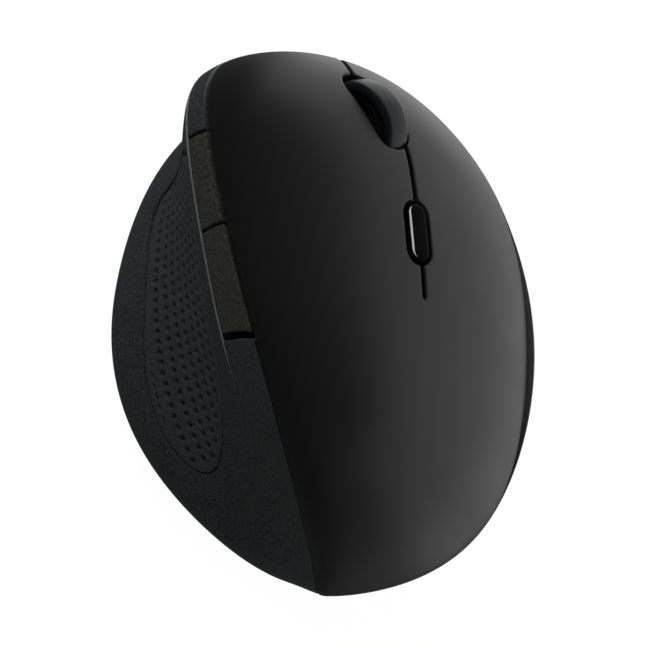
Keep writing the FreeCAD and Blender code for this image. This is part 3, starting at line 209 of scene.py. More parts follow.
# Fineness of the curves and meshes
SEAM_SAMPLES = 600
SPLIT_STEPS = 10
GRIP_STEPS = 8
CROWN_ROWS = 230
CROWN_COLUMNS = 170
SIDE_ROWS = 200
FLANK_COLUMNS = 90
STRIP_COLUMNS = 16
BUTTON_ROWS = 140
BUTTON_COLUMNS = 40
GRIP_ROWS = 330
GRIP_COLUMNS = 190
BEAD_ROWS = 200
BEAD_SIDES = 10
TYRE_STEPS = 96
TYRE_CORNER_STEPS = 7
SPEED_STEPS = 40
SPEED_HIGHLIGHT_CORNER_STEPS = 20
SPEED_HIGHLIGHT_STRAIGHT_STEPS = 32

# Searches and cuts: halvings of a search, and how near to a cut or to an edge's end a point counts as there
HALVINGS = 40
SNAP = 0.03
RING_SNAP = 0.02
END_SHARE = 0.02
TINY = 1e-9


# Body form on arrays of points

def mix(first, second, share):
    return first + (second - first) * share


def smooth(share):
    share = np.clip(share, 0.0, 1.0)
    return share ** 3 * (share * (6.0 * share - 15.0) + 10.0)


def bezier(points, share):
    count = len(points) - 1
    total = 0.0
    for index, point in enumerate(points):
        weight = math.comb(count, index) * (1.0 - share) ** (count - index) * share ** index
        total = total + weight * point
    return total


def along_body(values, rear_tip, front_tip, u):
    total = 0.0
    for index, station in enumerate(SECTION_Y):
        here = station / HALF_LENGTH
        weight = (values[index] - mix(rear_tip, front_tip, (here + 1.0) / 2.0)) / math.sqrt(1.0 - here ** 2)
        for other_index, other in enumerate(SECTION_Y):
            if other_index != index:
                weight = weight * (u - other / HALF_LENGTH) / (here - other / HALF_LENGTH)
        total = total + weight
    return mix(rear_tip, front_tip, (u + 1.0) / 2.0) + np.sqrt(np.maximum(1.0 - u ** 2, 0.0)) * total


def across(values, u):
    return along_body(values, REAR_TIP_X, FRONT_TIP_X, u)


def upward(values, u):
    return along_body(values, TIP_Z, TIP_Z, u)


def section_curves(angle, depth):
    """Handles of the three curves of each cross-section, as (x, z) pairs of arrays."""
    u = np.sin(np.radians(angle))
    y = HALF_LENGTH * u
    left = across(LEFT_FOOT_X, u)
    right = across(RIGHT_FOOT_X, u)
    ridge_x = across(RIDGE_X, u)
    ridge_z = upward(RIDGE_Z, u)
    crest_x = across(CREST_X, u)
    crest_z = upward(CREST_Z, u)
    width = right - left
    rise = ridge_z - TIP_Z
    squeeze = np.cos(np.radians(angle))
    hollow = smooth((y - HOLLOW_ENDS_Y) / (HOLLOW_FULL_Y - HOLLOW_ENDS_Y))
    lean = math.radians(STRIP_ANGLE)
    back = BACK_HANDLE * np.hypot(width, rise)
    steep_x = ridge_x - back * math.cos(lean)
    steep_z = ridge_z - back * math.sin(lean)
    foot = np.zeros_like(u) + TIP_Z
    flank = [
        (left, foot),
        (left, TIP_Z + mix(BACK_RISE_LOW * rise, RIM_START * squeeze, hollow)),
        (left + mix(BACK_IN, LEDGE_RIM_IN, hollow) * width,
         TIP_Z + mix(BACK_RISE_HIGH * rise, LEDGE_RIM * squeeze, hollow)),
        (mix(steep_x, left + HOLLOW_IN * width, hollow), mix(steep_z, TIP_Z + HOLLOW_LOW * squeeze, hollow)),
        (mix((ridge_x + steep_x) / 2.0, ridge_x + WALL_IN, hollow),
         mix((ridge_z + steep_z) / 2.0, TIP_Z + WALL_UP * rise, hollow)),
        (ridge_x, ridge_z),
    ]
    reach = STRIP_HANDLE * np.hypot(crest_x - ridge_x, crest_z - ridge_z)
    strip_x = ridge_x + reach * math.cos(lean)
    strip_z = ridge_z + reach * math.sin(lean)
    right_handle = SHOULDER_OUT * (right - crest_x)
    left_drop = np.maximum(crest_z - strip_z, 0.0)
    right_drop = (1.0 - SHOULDER_UP) * (crest_z - TIP_Z)
    limit = HANDLE_LIMIT * (crest_x - ridge_x)
    left_handle = np.minimum(right_handle * np.sqrt(left_drop / right_drop), limit)
    top = [(ridge_x, ridge_z), (strip_x, strip_z), (crest_x - left_handle, crest_z), (crest_x, crest_z)]
    side = [
        (crest_x, crest_z),
        (crest_x + right_handle, crest_z),
        (right, TIP_Z + SHOULDER_UP * (crest_z - TIP_Z)),
        (right, foot),
    ]
    # How far across and up each handle moves per millimetre of depth, for the inner faces
    flank_in = ((1.0, 0.0), (1.0, -0.5), (1.0, -0.8), (1.0, -0.8), (1.0, -0.3), (1.0, -0.26))
    top_in = ((1.0, -0.26), (0.9, -0.5), (0.3, -1.0), (0.0, -1.0))
    side_in = ((0.0, -1.0), (-0.3, -1.0), (-1.0, -0.5), (-1.0, 0.0))
    inset = depth * (1.0 - (1.0 - squeeze) ** TIP_FADE)
    curves = []
    for points, inward in ((flank, flank_in), (top, top_in), (side, side_in)):
        curves.append([(p[0] + inset * q[0], p[1] + inset * q[1]) for p, q in zip(points, inward)])
    return (HALF_LENGTH - depth) * u, curves


def body(angle, place, depth=0.0):
    """Points on the body in millimetres, for arrays of angle along it and place around it."""
    y, curves = section_curves(angle, depth)
    part = np.clip(np.floor(place), 0, 2)
    x = np.zeros_like(y)
    z = np.zeros_like(y)
    for index, curve in enumerate(curves):
        here = part == index
        share = place - index
        x = np.where(here, bezier([p[0] for p in curve], share), x)
        z = np.where(here, bezier([p[1] for p in curve], share), z)
    share = np.clip(place, 0.0, 1.0)
    swell = smooth((y - SWELL_FROM_Y) / (SWELL_FULL_Y - SWELL_FROM_Y))
    x = x - SWELL * swell * SWELL_PEAK * share * (1.0 - share) ** 2
    taper = 1.0 - UNDERCUT * np.clip((UNDERCUT_Z - z) / UNDERCUT_Z, 0.0, 1.0) ** 2
    return np.stack([x * taper, y * taper, z], -1)


def unit(vectors):
    return vectors / np.maximum(np.linalg.norm(vectors, axis=-1, keepdims=True), TINY)


def normals(angle, place):
    step = 0.004
    along = body(angle + step, place) - body(angle - step, place)
    around = body(angle, place + step) - body(angle, place - step)
    return unit(np.cross(around, along))


def angle_at(y):
    return math.degrees(math.asin(y / HALF_LENGTH))


def seam_places(angle):
    """Places of the seam, which lies on the curve from the ridge to the crest."""
    wanted = across(SEAM_X, np.sin(np.radians(angle)))
    curve = section_curves(angle, 0.0)[1][1]
    low = np.zeros_like(angle)
    high = np.ones_like(angle)
    for _ in range(HALVINGS):
        middle = (low + high) / 2.0
        short = bezier([p[0] for p in curve], middle) < wanted
        low = np.where(short, middle, low)
        high = np.where(short, high, middle)
    return AT_RIDGE + np.clip(low, SEAM_LOWEST, SEAM_HIGHEST)


SEAM_ANGLES = np.linspace(-TIP_ANGLE, TIP_ANGLE, SEAM_SAMPLES)
SEAM_TABLE = seam_places(SEAM_ANGLES)


def seam_at(angle):
    return np.interp(angle, SEAM_ANGLES, SEAM_TABLE)


def seam_half_gap(angle):
    y = HALF_LENGTH * np.sin(np.radians(angle))
    return mix(SEAM_GAP_REAR, SEAM_GAP_FRONT, smooth((y + HALF_LENGTH) / (2.0 * HALF_LENGTH))) / 2.0


def run_from(angle, place, start):
    """Distance over the surface from the place called start, negative below it."""
    total = np.zeros_like(place)
    steps = 6
    last = body(angle, start)
    for index in range(1, steps + 1):
        here = body(angle, mix(start, place, index / steps))
        total = total + np.linalg.norm(here - last, axis=-1)
        last = here
    return np.sign(place - start) * total


# Frames of the parts on the crown

def find_on_top(x, y):
    """Angle and place of a point of the crown that is given in plan."""
    angle = angle_at(y)
    low = AT_RIDGE
    high = AT_RIGHT_FOOT
    for _ in range(HALVINGS):
        middle = (low + high) / 2.0
        if body(np.array([angle]), np.array([middle]))[0, 0] < x:
            low = middle
        else:
            high = middle
    return np.array([angle]), np.array([low])


def surface_frame(x, y, forward):
    """Origin and the across, forward and outward directions at a point of the crown."""
    angle, place = find_on_top(x, y)
    outward = normals(angle, place)[0]
    forward = unit(forward - outward * forward.dot(outward))
    return body(angle, place)[0], np.array([np.cross(forward, outward), forward, outward])


def top_point(x, y):
    return body(*find_on_top(x, y))[0]


WHEEL_FRAME = surface_frame(WHEEL_X, WHEEL_Y, top_point(*WHEEL_SLOT_FRONT) - top_point(*WHEEL_SLOT_REAR))
SPEED_FRONT = top_point(SPEED_X - SPEED_LEAN, SPEED_Y + SPEED_RUN)
SPEED_REAR = top_point(SPEED_X + SPEED_LEAN, SPEED_Y - SPEED_RUN)
SPEED_FRAME = surface_frame(SPEED_X, SPEED_Y, SPEED_FRONT - SPEED_REAR)


def in_frame(points, at):
    return (points - at[0]) @ at[1].T


def out_of_frame(points, at):
    return points @ at[1] + at[0]


def capsule_distance(points, length, width):
    """Distance outside a bar with round ends that lies along the frame's forward axis."""
    reach = (length - width) / 2.0
    beyond = np.maximum(np.abs(points[..., 1]) - reach, 0.0)
    return np.hypot(points[..., 0], beyond) - width / 2.0


def path_distance(points, path):
    """Distance in plan to a chain of straight runs, and the side of it on which each point lies."""
    best = np.full(points.shape[:-1], np.inf)
    side = np.zeros(points.shape[:-1])
    for first, second in zip(path[:-1], path[1:]):
        run = second - first
        off = points[..., :2] - first
        share = np.clip((off @ run) / run.dot(run), 0.0, 1.0)
        away = off - share[..., None] * run
        distance = np.linalg.norm(away, axis=-1)
        turn = run[0] * off[..., 1] - run[1] * off[..., 0]
        closer = distance < best
        best = np.where(closer, distance, best)
        side = np.where(closer, turn, side)
    return best, side


def fine_path(points, count, closed=False):
    """Smooth curve through the points, as a chain of short runs."""
    points = np.array(points, float)
    total = len(points)
    out = []
    spans = total if closed else total - 1
    for span in range(spans):
        picks = []
        for offset in (-1, 0, 1, 2):
            index = span + offset
            picks.append(points[index % total] if closed else points[min(max(index, 0), total - 1)])
        a, b, c, d = picks
        for step in range(count):
            t = step / count
            out.append(0.5 * (2.0 * b + (c - a) * t + (2.0 * a - 5.0 * b + 4.0 * c - d) * t ** 2
                              + (3.0 * b - a - 3.0 * c + d) * t ** 3))
    out.append(out[0] if closed else points[-1])
    return np.array(out)


SPLIT_LINE = fine_path(SPLIT_PATH, SPLIT_STEPS)
SPLIT_FAR = SPLIT_LINE[-1] + (SPLIT_LINE[-1] - SPLIT_LINE[-2]) * SPLIT_REACH
SPLIT_SIDE_LINE = np.vstack([SPLIT_LINE, SPLIT_FAR])
GRIP_LINE = fine_path(GRIP_OUTLINE, GRIP_STEPS, True)


def grip_plane(points):
    """The points in the plane of the grip's outline."""
    lean = math.radians(GRIP_LEAN)
    return np.stack([points[..., 1], points[..., 0] * math.cos(lean) + points[..., 2] * math.sin(lean)], -1)


def grip_distance(points):
    """Distance outside the grip's outline, negative inside."""
    flat = grip_plane(points)
    distance = path_distance(flat, GRIP_LINE)[0]
    inside = np.zeros(flat.shape[:-1], bool)
    for first, second in zip(GRIP_LINE[:-1], GRIP_LINE[1:]):
        crosses = (first[1] > flat[..., 1]) != (second[1] > flat[..., 1])
        rise = second[1] - first[1]
        rise = rise if abs(rise) > TINY else TINY
        at = first[0] + (flat[..., 1] - first[1]) * (second[0] - first[0]) / rise
        inside ^= crosses & (flat[..., 0] < at)
    return np.where(inside, -distance, distance)


def parting_height(points):
    """Height above the parting line."""
    return points[..., 2] - (PARTING_Z + PARTING_RISE_X * points[..., 0] + PARTING_RISE_Y * points[..., 1])


# Skins: meshes whose points keep their angle and place on the body, cut along lines of equal distance

def even_grid(angles, first, last, columns):
    """Points spread evenly around each cross-section, from the first place to the last."""
    samples = 160
    fine = np.linspace(0.0, 1.0, samples)
    params = []
    for angle, low, high in zip(angles, first, last):
        places = mix(low, high, fine)
        points = body(np.full_like(places, angle), places)
        run = np.concatenate([[0.0], np.cumsum(np.linalg.norm(np.diff(points, axis=0), axis=1))])
        chosen = np.interp(np.linspace(0.0, run[-1], columns), run, places)
        params.append(np.stack([np.full_like(chosen, angle), chosen], -1))
    return np.array(params)


def grid_faces(rows, columns):
    faces = []
    for row in range(rows - 1):
        for column in range(columns - 1):
            low = row * columns + column
            faces.append((low, low + 1, low + columns + 1, low + columns))
    return faces


def cut(skin, value_of, near=SNAP):
    """Splits the skin's faces along the line where the value is zero."""
    params, faces = skin
    values = value_of(params)
    values = np.where(np.abs(values) < near, 0.0, values)
    marks = np.sign(values).astype(int).tolist()
    made = {}
    for face in faces:
        count = len(face)
        for index in range(count):
            a = face[index]
            b = face[(index + 1) % count]
            if marks[a] * marks[b] < 0:
                key = (a, b) if a < b else (b, a)
                if key not in made:
                    made[key] = len(params) + len(made)
    if not made:
        return skin
    ends = np.array(list(made.keys()))
    first = params[ends[:, 0]]
    second = params[ends[:, 1]]
    low = values[ends[:, 0]]
    high = values[ends[:, 1]]
    share = low / (low - high)
    corrections = 2
    for _ in range(corrections):
        middle = first + (second - first) * share[:, None]
        found = value_of(middle)
        same = np.sign(found) == np.sign(low)
        beyond = share + (1.0 - share) * found / (found - high)
        before = share * low / (low - found)
        better = np.where(same, beyond, before)
        share = np.clip(np.where(np.isfinite(better), better, share), END_SHARE, 1.0 - END_SHARE)
    middle = first + (second - first) * share[:, None]
    kept = []
    for face in faces:
        face_marks = [marks[index] for index in face]
        if max(face_marks) <= 0 or min(face_marks) >= 0:
            kept.append(face)
            continue
        above = []
        below = []
        count = len(face)
        for index in range(count):
            a = face[index]
            b = face[(index + 1) % count]
            if marks[a] >= 0:
                above.append(a)
            if marks[a] <= 0:
                below.append(a)
            if marks[a] * marks[b] < 0:
                new = made[(a, b) if a < b else (b, a)]
                above.append(new)
                below.append(new)
        for part in (above, below):
            if len(part) > 2:
                kept.append(tuple(part))
    return np.vstack([params, middle]), kept


def choose(skin, value_of):
    """Faces of the skin whose middle has a positive value."""
    params, faces = skin
    middles = np.array([params[list(face)].mean(axis=0) for face in faces])
    good = value_of(middles) > 0.0
    faces = [face for face, keep in zip(faces, good) if keep]
    used = sorted({index for face in faces for index in face})
    renumber = {old: new for new, old in enumerate(used)}
    return params[used], [tuple(renumber[index] for index in face) for face in faces]


def roll(distance, radius):
    """Depth of a rounded edge at a distance from the cut."""
    inside = np.clip(radius - distance, 0.0, radius)
    return radius - np.sqrt(np.maximum(radius ** 2 - inside ** 2, 0.0))


def mesh_piece(name, points, faces, look):
    """Smooth piece from points in millimetres."""
    mesh = bpy.data.meshes.new(name)
    mesh.from_pydata((points * MM).tolist(), [], faces)
    mesh.update()
    mesh.shade_smooth()
    mesh.materials.append(look)
    piece = bpy.data.objects.new(name, mesh)
    bpy.context.scene.collection.objects.link(piece)
    return piece


def shell_mesh(name, skin, distance_of, radius, depth, look, shape_of=None):
    """Closed shell from a skin: rolled edges outside, a wall at each border and an inner face."""
    params, faces = skin
    angle = params[:, 0]
    place = params[:, 1]
    outward = normals(angle, place)
    distance = distance_of(params)
    sunk = roll(distance, radius)
    if shape_of is not None:
        sunk = sunk + shape_of(params)
    outer = body(angle, place) - outward * sunk[:, None]
    inner = body(angle, place, depth)
    count = len(params)
    edges = {}
    for face in faces:
        for index in range(len(face)):
            a = face[index]
            b = face[(index + 1) % len(face)]
            edges[(a, b)] = edges.get((a, b), 0) + 1
    border = [(a, b) for a, b in edges if (b, a) not in edges]
    all_faces = [tuple(face) for face in faces]
    all_faces += [tuple(count + index for index in reversed(face)) for face in faces]
    all_faces += [(b, a, count + a, count + b) for a, b in border]
    piece = mesh_piece(name, np.vstack([outer, inner]), all_faces, look)
    sharp = {(min(a, b) + count, max(a, b) + count) for a, b in border}
    for edge in piece.data.edges:
        pair = (min(edge.vertices), max(edge.vertices))
        if pair in sharp:
            edge.use_edge_sharp = True
    return piece, outward, distance


def set_normals(piece, wanted):
    """Fixes the shading direction of some points, so that two pieces that meet shade as one."""
    piece.data.normals_split_custom_set_from_vertices(wanted.tolist())


def ringed(skin, distance_of, radius):
    """Cuts the skin at its border and at rings close to it, where the edge is rolled."""
    for share in RING_SHARES:
        skin = cut(skin, lambda params, level=share * radius: distance_of(params) - level, RING_SNAP)
    skin = cut(skin, distance_of)
    return choose(skin, distance_of)


# Distances to the borders of each skin, in millimetres

def crown_distance(params):
    """Distance inside the crown's seam, split, slots and lower edge."""
    angle = params[:, 0]
    place = params[:, 1]
    points = body(angle, place)
    from_seam = run_from(angle, place, seam_at(angle)) - seam_half_gap(angle)
    from_split = path_distance(points, SPLIT_LINE)[0] - SPLIT_GAP / 2.0
    at_wheel = in_frame(points, WHEEL_FRAME) - np.array([0.0, WHEEL_SLOT_AHEAD, 0.0])
    from_wheel = capsule_distance(at_wheel, WHEEL_SLOT_LENGTH, WHEEL_SLOT_WIDTH)
    speed_length = SPEED_LENGTH + 2.0 * SPEED_SLOT_GAP
    speed_width = SPEED_WIDTH + 2.0 * SPEED_SLOT_GAP
    from_speed = capsule_distance(in_frame(points, SPEED_FRAME), speed_length, speed_width)
    on_top = place > AT_RIDGE
    key_room = np.clip((points[:, 1] - FLEX_Y) * KEY_ROOM_SLOPE, 0.0, KEY_ROOM_LIMIT)
    from_parting = parting_height(points) - (CROWN_ABOVE_PARTING + key_room)
    nearest = np.minimum.reduce([from_seam, from_split, from_wheel, from_speed, from_parting])
    return np.where(on_top, nearest, -1.0)


def key_side(params):
    """Positive on the right key and the stretch of palm behind it."""
    points = body(params[:, 0], params[:, 1])
    distance, side = path_distance(points, SPLIT_SIDE_LINE)
    right = np.where(side > 0.0, distance, -distance)
    return np.minimum(right, points[:, 1] - RIGHT_PIECE_REAR_Y)


def rear_cut_distance(points):
    """Distance ahead of the cut behind the side buttons."""
    first = np.array(CUT_REAR_RIDGE)
    second = np.array(CUT_REAR_SEAM)
    direction = unit(second - first)
    ahead = np.array([-direction[1], direction[0]])
    return (points[..., :2] - first) @ ahead


def window_distance(params):
    """Distance outside the window of the side buttons."""
    points = body(params[:, 0], params[:, 1])
    above_ridge = run_from(params[:, 0], params[:, 1], np.ones_like(params[:, 1])) - WINDOW_UP
    inside = np.minimum.reduce([above_ridge, CUT_FRONT_Y - points[:, 1], rear_cut_distance(points)])
    return -inside


def side_distance(params):
    """Distance inside the side shell's seam, lower edge, window and pocket."""
    angle = params[:, 0]
    points = body(angle, params[:, 1])
    from_seam = -run_from(angle, params[:, 1], seam_at(angle)) - seam_half_gap(angle)
    from_parting = parting_height(points) - SIDE_ABOVE_PARTING
    wider = GROOVE_WIDE * smooth((points[:, 1] - GROOVE_FROM_Y) / (GROOVE_FULL_Y - GROOVE_FROM_Y))
    from_grip = grip_distance(points) - GRIP_GAP - wider
    return np.minimum.reduce([from_seam, from_parting, window_distance(params), from_grip])


def button_distance(params, low_y, high_y):
    """Distance inside a side button. Without a low end it ends at the slanting rear cut."""
    angle = params[:, 0]
    points = body(angle, params[:, 1])
    from_ridge = run_from(angle, params[:, 1], np.ones_like(angle)) - WINDOW_UP - CAP_GAP
    from_seam = -run_from(angle, params[:, 1], seam_at(angle)) - seam_half_gap(angle)
    borders = [from_ridge, from_seam, high_y - points[:, 1]]
    if low_y is None:
        borders.append(rear_cut_distance(points) - CUT_WIDE)
    else:
        borders.append(points[:, 1] - low_y)
    return np.minimum.reduce(borders)


def band(first, last, rows, columns, start=-TIP_ANGLE, end=TIP_ANGLE):
    """Skin between two places that change along the body."""
    angles = np.linspace(start, end, rows)
    return even_grid(angles, first(angles), last(angles), columns).reshape(-1, 2), grid_faces(rows, columns)


# Materials: noise varies colour and gloss between these two levels of its value
NOISE_LOW = 0.3
NOISE_HIGH = 0.7
GRAIN_DETAIL = 2.0
GRAIN_ROUGH = 0.6
CLOUD_SCALE = 60.0
CLOUD_DETAIL = 4.0


def grey(level):
    return level, level, level


def material(name, base, rough, metal=0.0):
    made = bpy.data.materials.new(name)
    made.use_nodes = True
    shader = made.node_tree.nodes["Principled BSDF"]
    shader.inputs["Base Color"].default_value = (*base, 1.0)
    shader.inputs["Roughness"].default_value = rough
    shader.inputs["Metallic"].default_value = metal
    return made, made.node_tree, shader


def noise(tree, scale, detail=3.0, rough=0.5):
    coordinates = tree.nodes.new("ShaderNodeTexCoord")
    texture = tree.nodes.new("ShaderNodeTexNoise")
    texture.inputs["Scale"].default_value = scale
    texture.inputs["Detail"].default_value = detail
    texture.inputs["Roughness"].default_value = rough
    tree.links.new(coordinates.outputs["Object"], texture.inputs["Vector"])
    return texture


def spread(tree, source, low, high, socket):
    """Feeds a socket with a texture's value, stretched between two numbers."""
    ranged = tree.nodes.new("ShaderNodeMapRange")
    ranged.inputs["From Min"].default_value = NOISE_LOW
    ranged.inputs["From Max"].default_value = NOISE_HIGH
    ranged.inputs["To Min"].default_value = low
    ranged.inputs["To Max"].default_value = high
    tree.links.new(source.outputs["Fac"], ranged.inputs["Value"])
    tree.links.new(ranged.outputs["Result"], socket)


def tint(tree, source, first, second, socket):
    """Feeds a socket with a colour between two, by a texture's value."""
    ramp = tree.nodes.new("ShaderNodeValToRGB")
    ramp.color_ramp.elements[0].position = NOISE_LOW
    ramp.color_ramp.elements[0].color = (*first, 1.0)
    ramp.color_ramp.elements[1].position = NOISE_HIGH
    ramp.color_ramp.elements[1].color = (*second, 1.0)
    tree.links.new(source.outputs["Fac"], ramp.inputs["Fac"])
    tree.links.new(ramp.outputs["Color"], socket)


def grain(tree, shader, scale, height):
    """Fine bumps with a height in metres."""
    texture = noise(tree, scale, GRAIN_DETAIL, GRAIN_ROUGH)
    bump = tree.nodes.new("ShaderNodeBump")
    bump.inputs["Strength"].default_value = 1.0
    bump.inputs["Distance"].default_value = height
    tree.links.new(texture.outputs["Fac"], bump.inputs["Height"])
    tree.links.new(bump.outputs["Normal"], shader.inputs["Normal"])
    return texture


def moulded(name, dark, light, rough, rough_spread, scale, height, shine=0.5):
    """Moulded plastic or rubber: fine grain, slight change of colour and of gloss."""
    made, tree, shader = material(name, light, rough)
    fine = grain(tree, shader, scale, height)
    wide = noise(tree, CLOUD_SCALE, CLOUD_DETAIL)
    tint(tree, fine, dark, light, shader.inputs["Base Color"])
    spread(tree, wide, rough - rough_spread, rough + rough_spread, shader.inputs["Roughness"])
    shader.inputs["Specular IOR Level"].default_value = shine
    return made


# Name, dark and light colour, roughness and how far it varies, scale and height of the grain, and shine
COVER = moulded("cover_gloss", grey(0.004), grey(0.006), 0.45, 0.03, 5200.0, 0.000006)
SIDE = moulded("side_plastic", (0.009, 0.012, 0.013), (0.060, 0.069, 0.073), 0.50, 0.03, 1900.0, 0.00014)
# The ridge bead's colour, far lighter than the side plastic, is a painted highlight along the ridge.
RIDGE_HIGHLIGHT_PAINT = moulded("ridge_painted_highlight", (0.130, 0.140, 0.140), (0.240, 0.250, 0.250), 0.38, 0.03, 2600.0, 0.00003)
BUTTON = moulded("button_plastic", (0.012, 0.012, 0.010), (0.080, 0.079, 0.067), 0.42, 0.03, 1900.0, 0.00014)
GRIP = moulded("grip_rubber", (0.019, 0.024, 0.028), (0.066, 0.075, 0.083), 0.55, 0.03, 2200.0, 0.00008)
BAR = moulded("bar_gloss", grey(0.002), grey(0.004), 0.20, 0.02, 5200.0, 0.000002, 0.02)
# The bar edge's near-white colour is a painted highlight on the speed bar's left bevel.
BAR_HIGHLIGHT_PAINT = moulded("bar_painted_highlight", grey(0.70), grey(0.85), 0.25, 0.02, 5200.0, 0.000002)
TYRE = moulded("tyre_rubber", (0.003, 0.004, 0.005), (0.007, 0.009, 0.011), 0.34, 0.03, 3600.0, 0.00003, 0.25)
BASE = moulded("base_plastic", grey(0.030), (0.060, 0.060, 0.058), 0.5, 0.04, 4200.0, 0.00005)
INNER = moulded("inner_plastic", grey(0.006), grey(0.010), 0.6, 0.04, 3000.0, 0.00003)
BOARD = moulded("circuit_board", (0.006, 0.05, 0.02), (0.01, 0.08, 0.03), 0.4, 0.05, 1500.0, 0.00002)
SWITCH = moulded("switch_plastic", (0.012, 0.012, 0.013), (0.02, 0.02, 0.022), 0.35, 0.05, 2500.0, 0.00002)
SLIDER = moulded("slider_plastic", (0.20, 0.20, 0.21), (0.26, 0.26, 0.27), 0.45, 0.05, 3000.0, 0.00003)
FOOT = moulded("foot_plastic", grey(0.05), grey(0.08), 0.3, 0.06, 900.0, 0.00003)
CELL = moulded("cell_jacket", (0.03, 0.12, 0.07), (0.04, 0.16, 0.09), 0.35, 0.05, 800.0, 0.00001)
RECEIVER = moulded("receiver_plastic", grey(0.008), grey(0.012), 0.25, 0.05, 2500.0, 0.00001)


def metal(name, base, rough):
    smoother = 0.06
    rougher = 0.08
    made, tree, shader = material(name, base, rough, metal=1.0)
    fine = grain(tree, shader, scale=2500.0, height=0.00001)
    spread(tree, fine, rough - smoother, rough + rougher, shader.inputs["Roughness"])
    return made


CONTACT = metal("contact_metal", base=(0.72, 0.72, 0.73), rough=0.25)
SCREW = metal("screw_steel", base=(0.42, 0.42, 0.43), rough=0.35)


def clear(name):
    made, tree, shader = material(name, base=(0.9, 0.93, 0.95), rough=0.05)
    shader.inputs["Transmission Weight"].default_value = 0.9
    shader.inputs["IOR"].default_value = 1.49
    wide = noise(tree, scale=300.0)
    spread(tree, wide, low=0.03, high=0.08, socket=shader.inputs["Roughness"])
    return made


LENS = clear("lens_clear")

NODE_LOOKS = (
    (BASE, ("base_shell", "battery_door")),
    (INNER, ("side_carrier", "wheel_cradle", "key_deck", "speed_guide", "wheel_hub")),
    (BOARD, ("side_board", "key_board", "main_board")),
    (SWITCH, ("forward_switch", "back_switch", "wheel_encoder", "wheel_switch", "left_switch", "right_switch",
              "speed_switch", "sensor_chip", "power_switch")),
    (LENS, ("sensor_lens",)),
    (SLIDER, ("power_slider",)),
    (CELL, ("battery",)),
    (CONTACT, ("battery_spring", "battery_plus_contact")),
    (RECEIVER, ("receiver",)),
    (FOOT, ("foot_front", "foot_rear", "foot_left", "foot_right")),
    (SCREW, ("screw_rear_right", "screw_rear", "screw_rear_left", "screw_front_left")),
)


def dress_nodes():
    """Gives each node that shows as its solid its material."""
    for look, names in NODE_LOOKS:
        for name in names:
            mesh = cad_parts[name].data
            mesh.materials.clear()
            mesh.materials.append(look)


# Crown: one glossy skin over palm and keys, in two pieces that meet unseen behind the split

def crown():
    skin = band(seam_at, lambda angles: np.full_like(angles, AT_RIGHT_FOOT), CROWN_ROWS, CROWN_COLUMNS)
    skin = ringed(skin, crown_distance, EDGE_ROLL)
    skin = cut(skin, key_side)
    for name, key, way, middle in (
        ("crown_left", "left_key", -1.0, LEFT_KEY_X),
        ("crown_right", "right_key", 1.0, RIGHT_KEY_X),
    ):
        part = choose(skin, lambda params, way=way: way * key_side(params))
        piece, outward, distance = shell_mesh(name, part, crown_distance, EDGE_ROLL, WALL, COVER)
        wanted = np.zeros((2 * len(outward), 3))
        plain = distance > EDGE_ROLL * PLAIN_FROM
        wanted[: len(outward)][plain] = outward[plain]
        set_normals(piece, wanted)
        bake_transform(piece)
    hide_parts("top_cover", "left_button")
    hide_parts("right_button")


# Beads: thin round edges along a line

def tube(name, centres, outward, radius, look):
    """Round bead along a line of centres, with a radius for each of them."""
    rows = len(centres)
    around = BEAD_SIDES
    aside = np.cross(unit(np.gradient(centres, axis=0)), outward)
    rings = []
    for step in range(around):
        turn = 2.0 * math.pi * step / around
        rings.append(centres + radius[:, None] * (math.cos(turn) * outward + math.sin(turn) * aside))
    points = np.stack(rings, axis=1).reshape(-1, 3)
    faces = []
    for row in range(rows - 1):
        for step in range(around):
            low = row * around
            following = (step + 1) % around
            faces.append((low + step, low + following, low + around + following, low + around + step))
    faces.append(tuple(reversed(range(around))))
    faces.append(tuple(range((rows - 1) * around, rows * around)))
    return mesh_piece(name, points, faces, look)


def thinner_ends(rows, taper):
    """Share of the full radius along a bead. A higher taper makes its thin ends shorter."""
    share = np.linspace(0.0, 1.0, rows)
    return BEAD_END + (1.0 - BEAD_END) * smooth(taper * share) * smooth(taper * (1.0 - share))


def ridge_bead_painted_highlight():
    """Thin rounded edge that stands up along the ridge and catches the light, coloured far lighter than the
    side plastic as a painted highlight.
    """
    angles = np.linspace(angle_at(BEAD_REAR_Y), angle_at(BEAD_FRONT_Y), BEAD_ROWS)
    places = np.ones_like(angles)
    radius = BEAD_RADIUS * thinner_ends(BEAD_ROWS, BEAD_TAPER)
    # The bead's light colour is a painted highlight along the ridge.
    piece = tube("ridge_bead_painted_highlight", body(angles, places), normals(angles, places), radius, RIDGE_HIGHLIGHT_PAINT)
    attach(piece, "body")


# Side shell with the window of the side buttons and the pocket of the grip

def side_shell():
    """One skin over the flank and the strip above the ridge, which share their points along the ridge."""
    flank = band(np.zeros_like, np.ones_like, SIDE_ROWS, FLANK_COLUMNS)[0]
    strip = band(np.ones_like, seam_at, SIDE_ROWS, STRIP_COLUMNS)[0]
    flank = flank.reshape(SIDE_ROWS, FLANK_COLUMNS, 2)
    strip = strip.reshape(SIDE_ROWS, STRIP_COLUMNS, 2)[:, 1:]
    joined = np.concatenate([flank, strip], axis=1)
    skin = joined.reshape(-1, 2), grid_faces(SIDE_ROWS, FLANK_COLUMNS + STRIP_COLUMNS - 1)
    skin = ringed(skin, side_distance, SIDE_ROLL)
    piece = shell_mesh("side_skin", skin, side_distance, SIDE_ROLL, WALL, SIDE)[0]
    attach(piece, "body")
    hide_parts("side_shell")


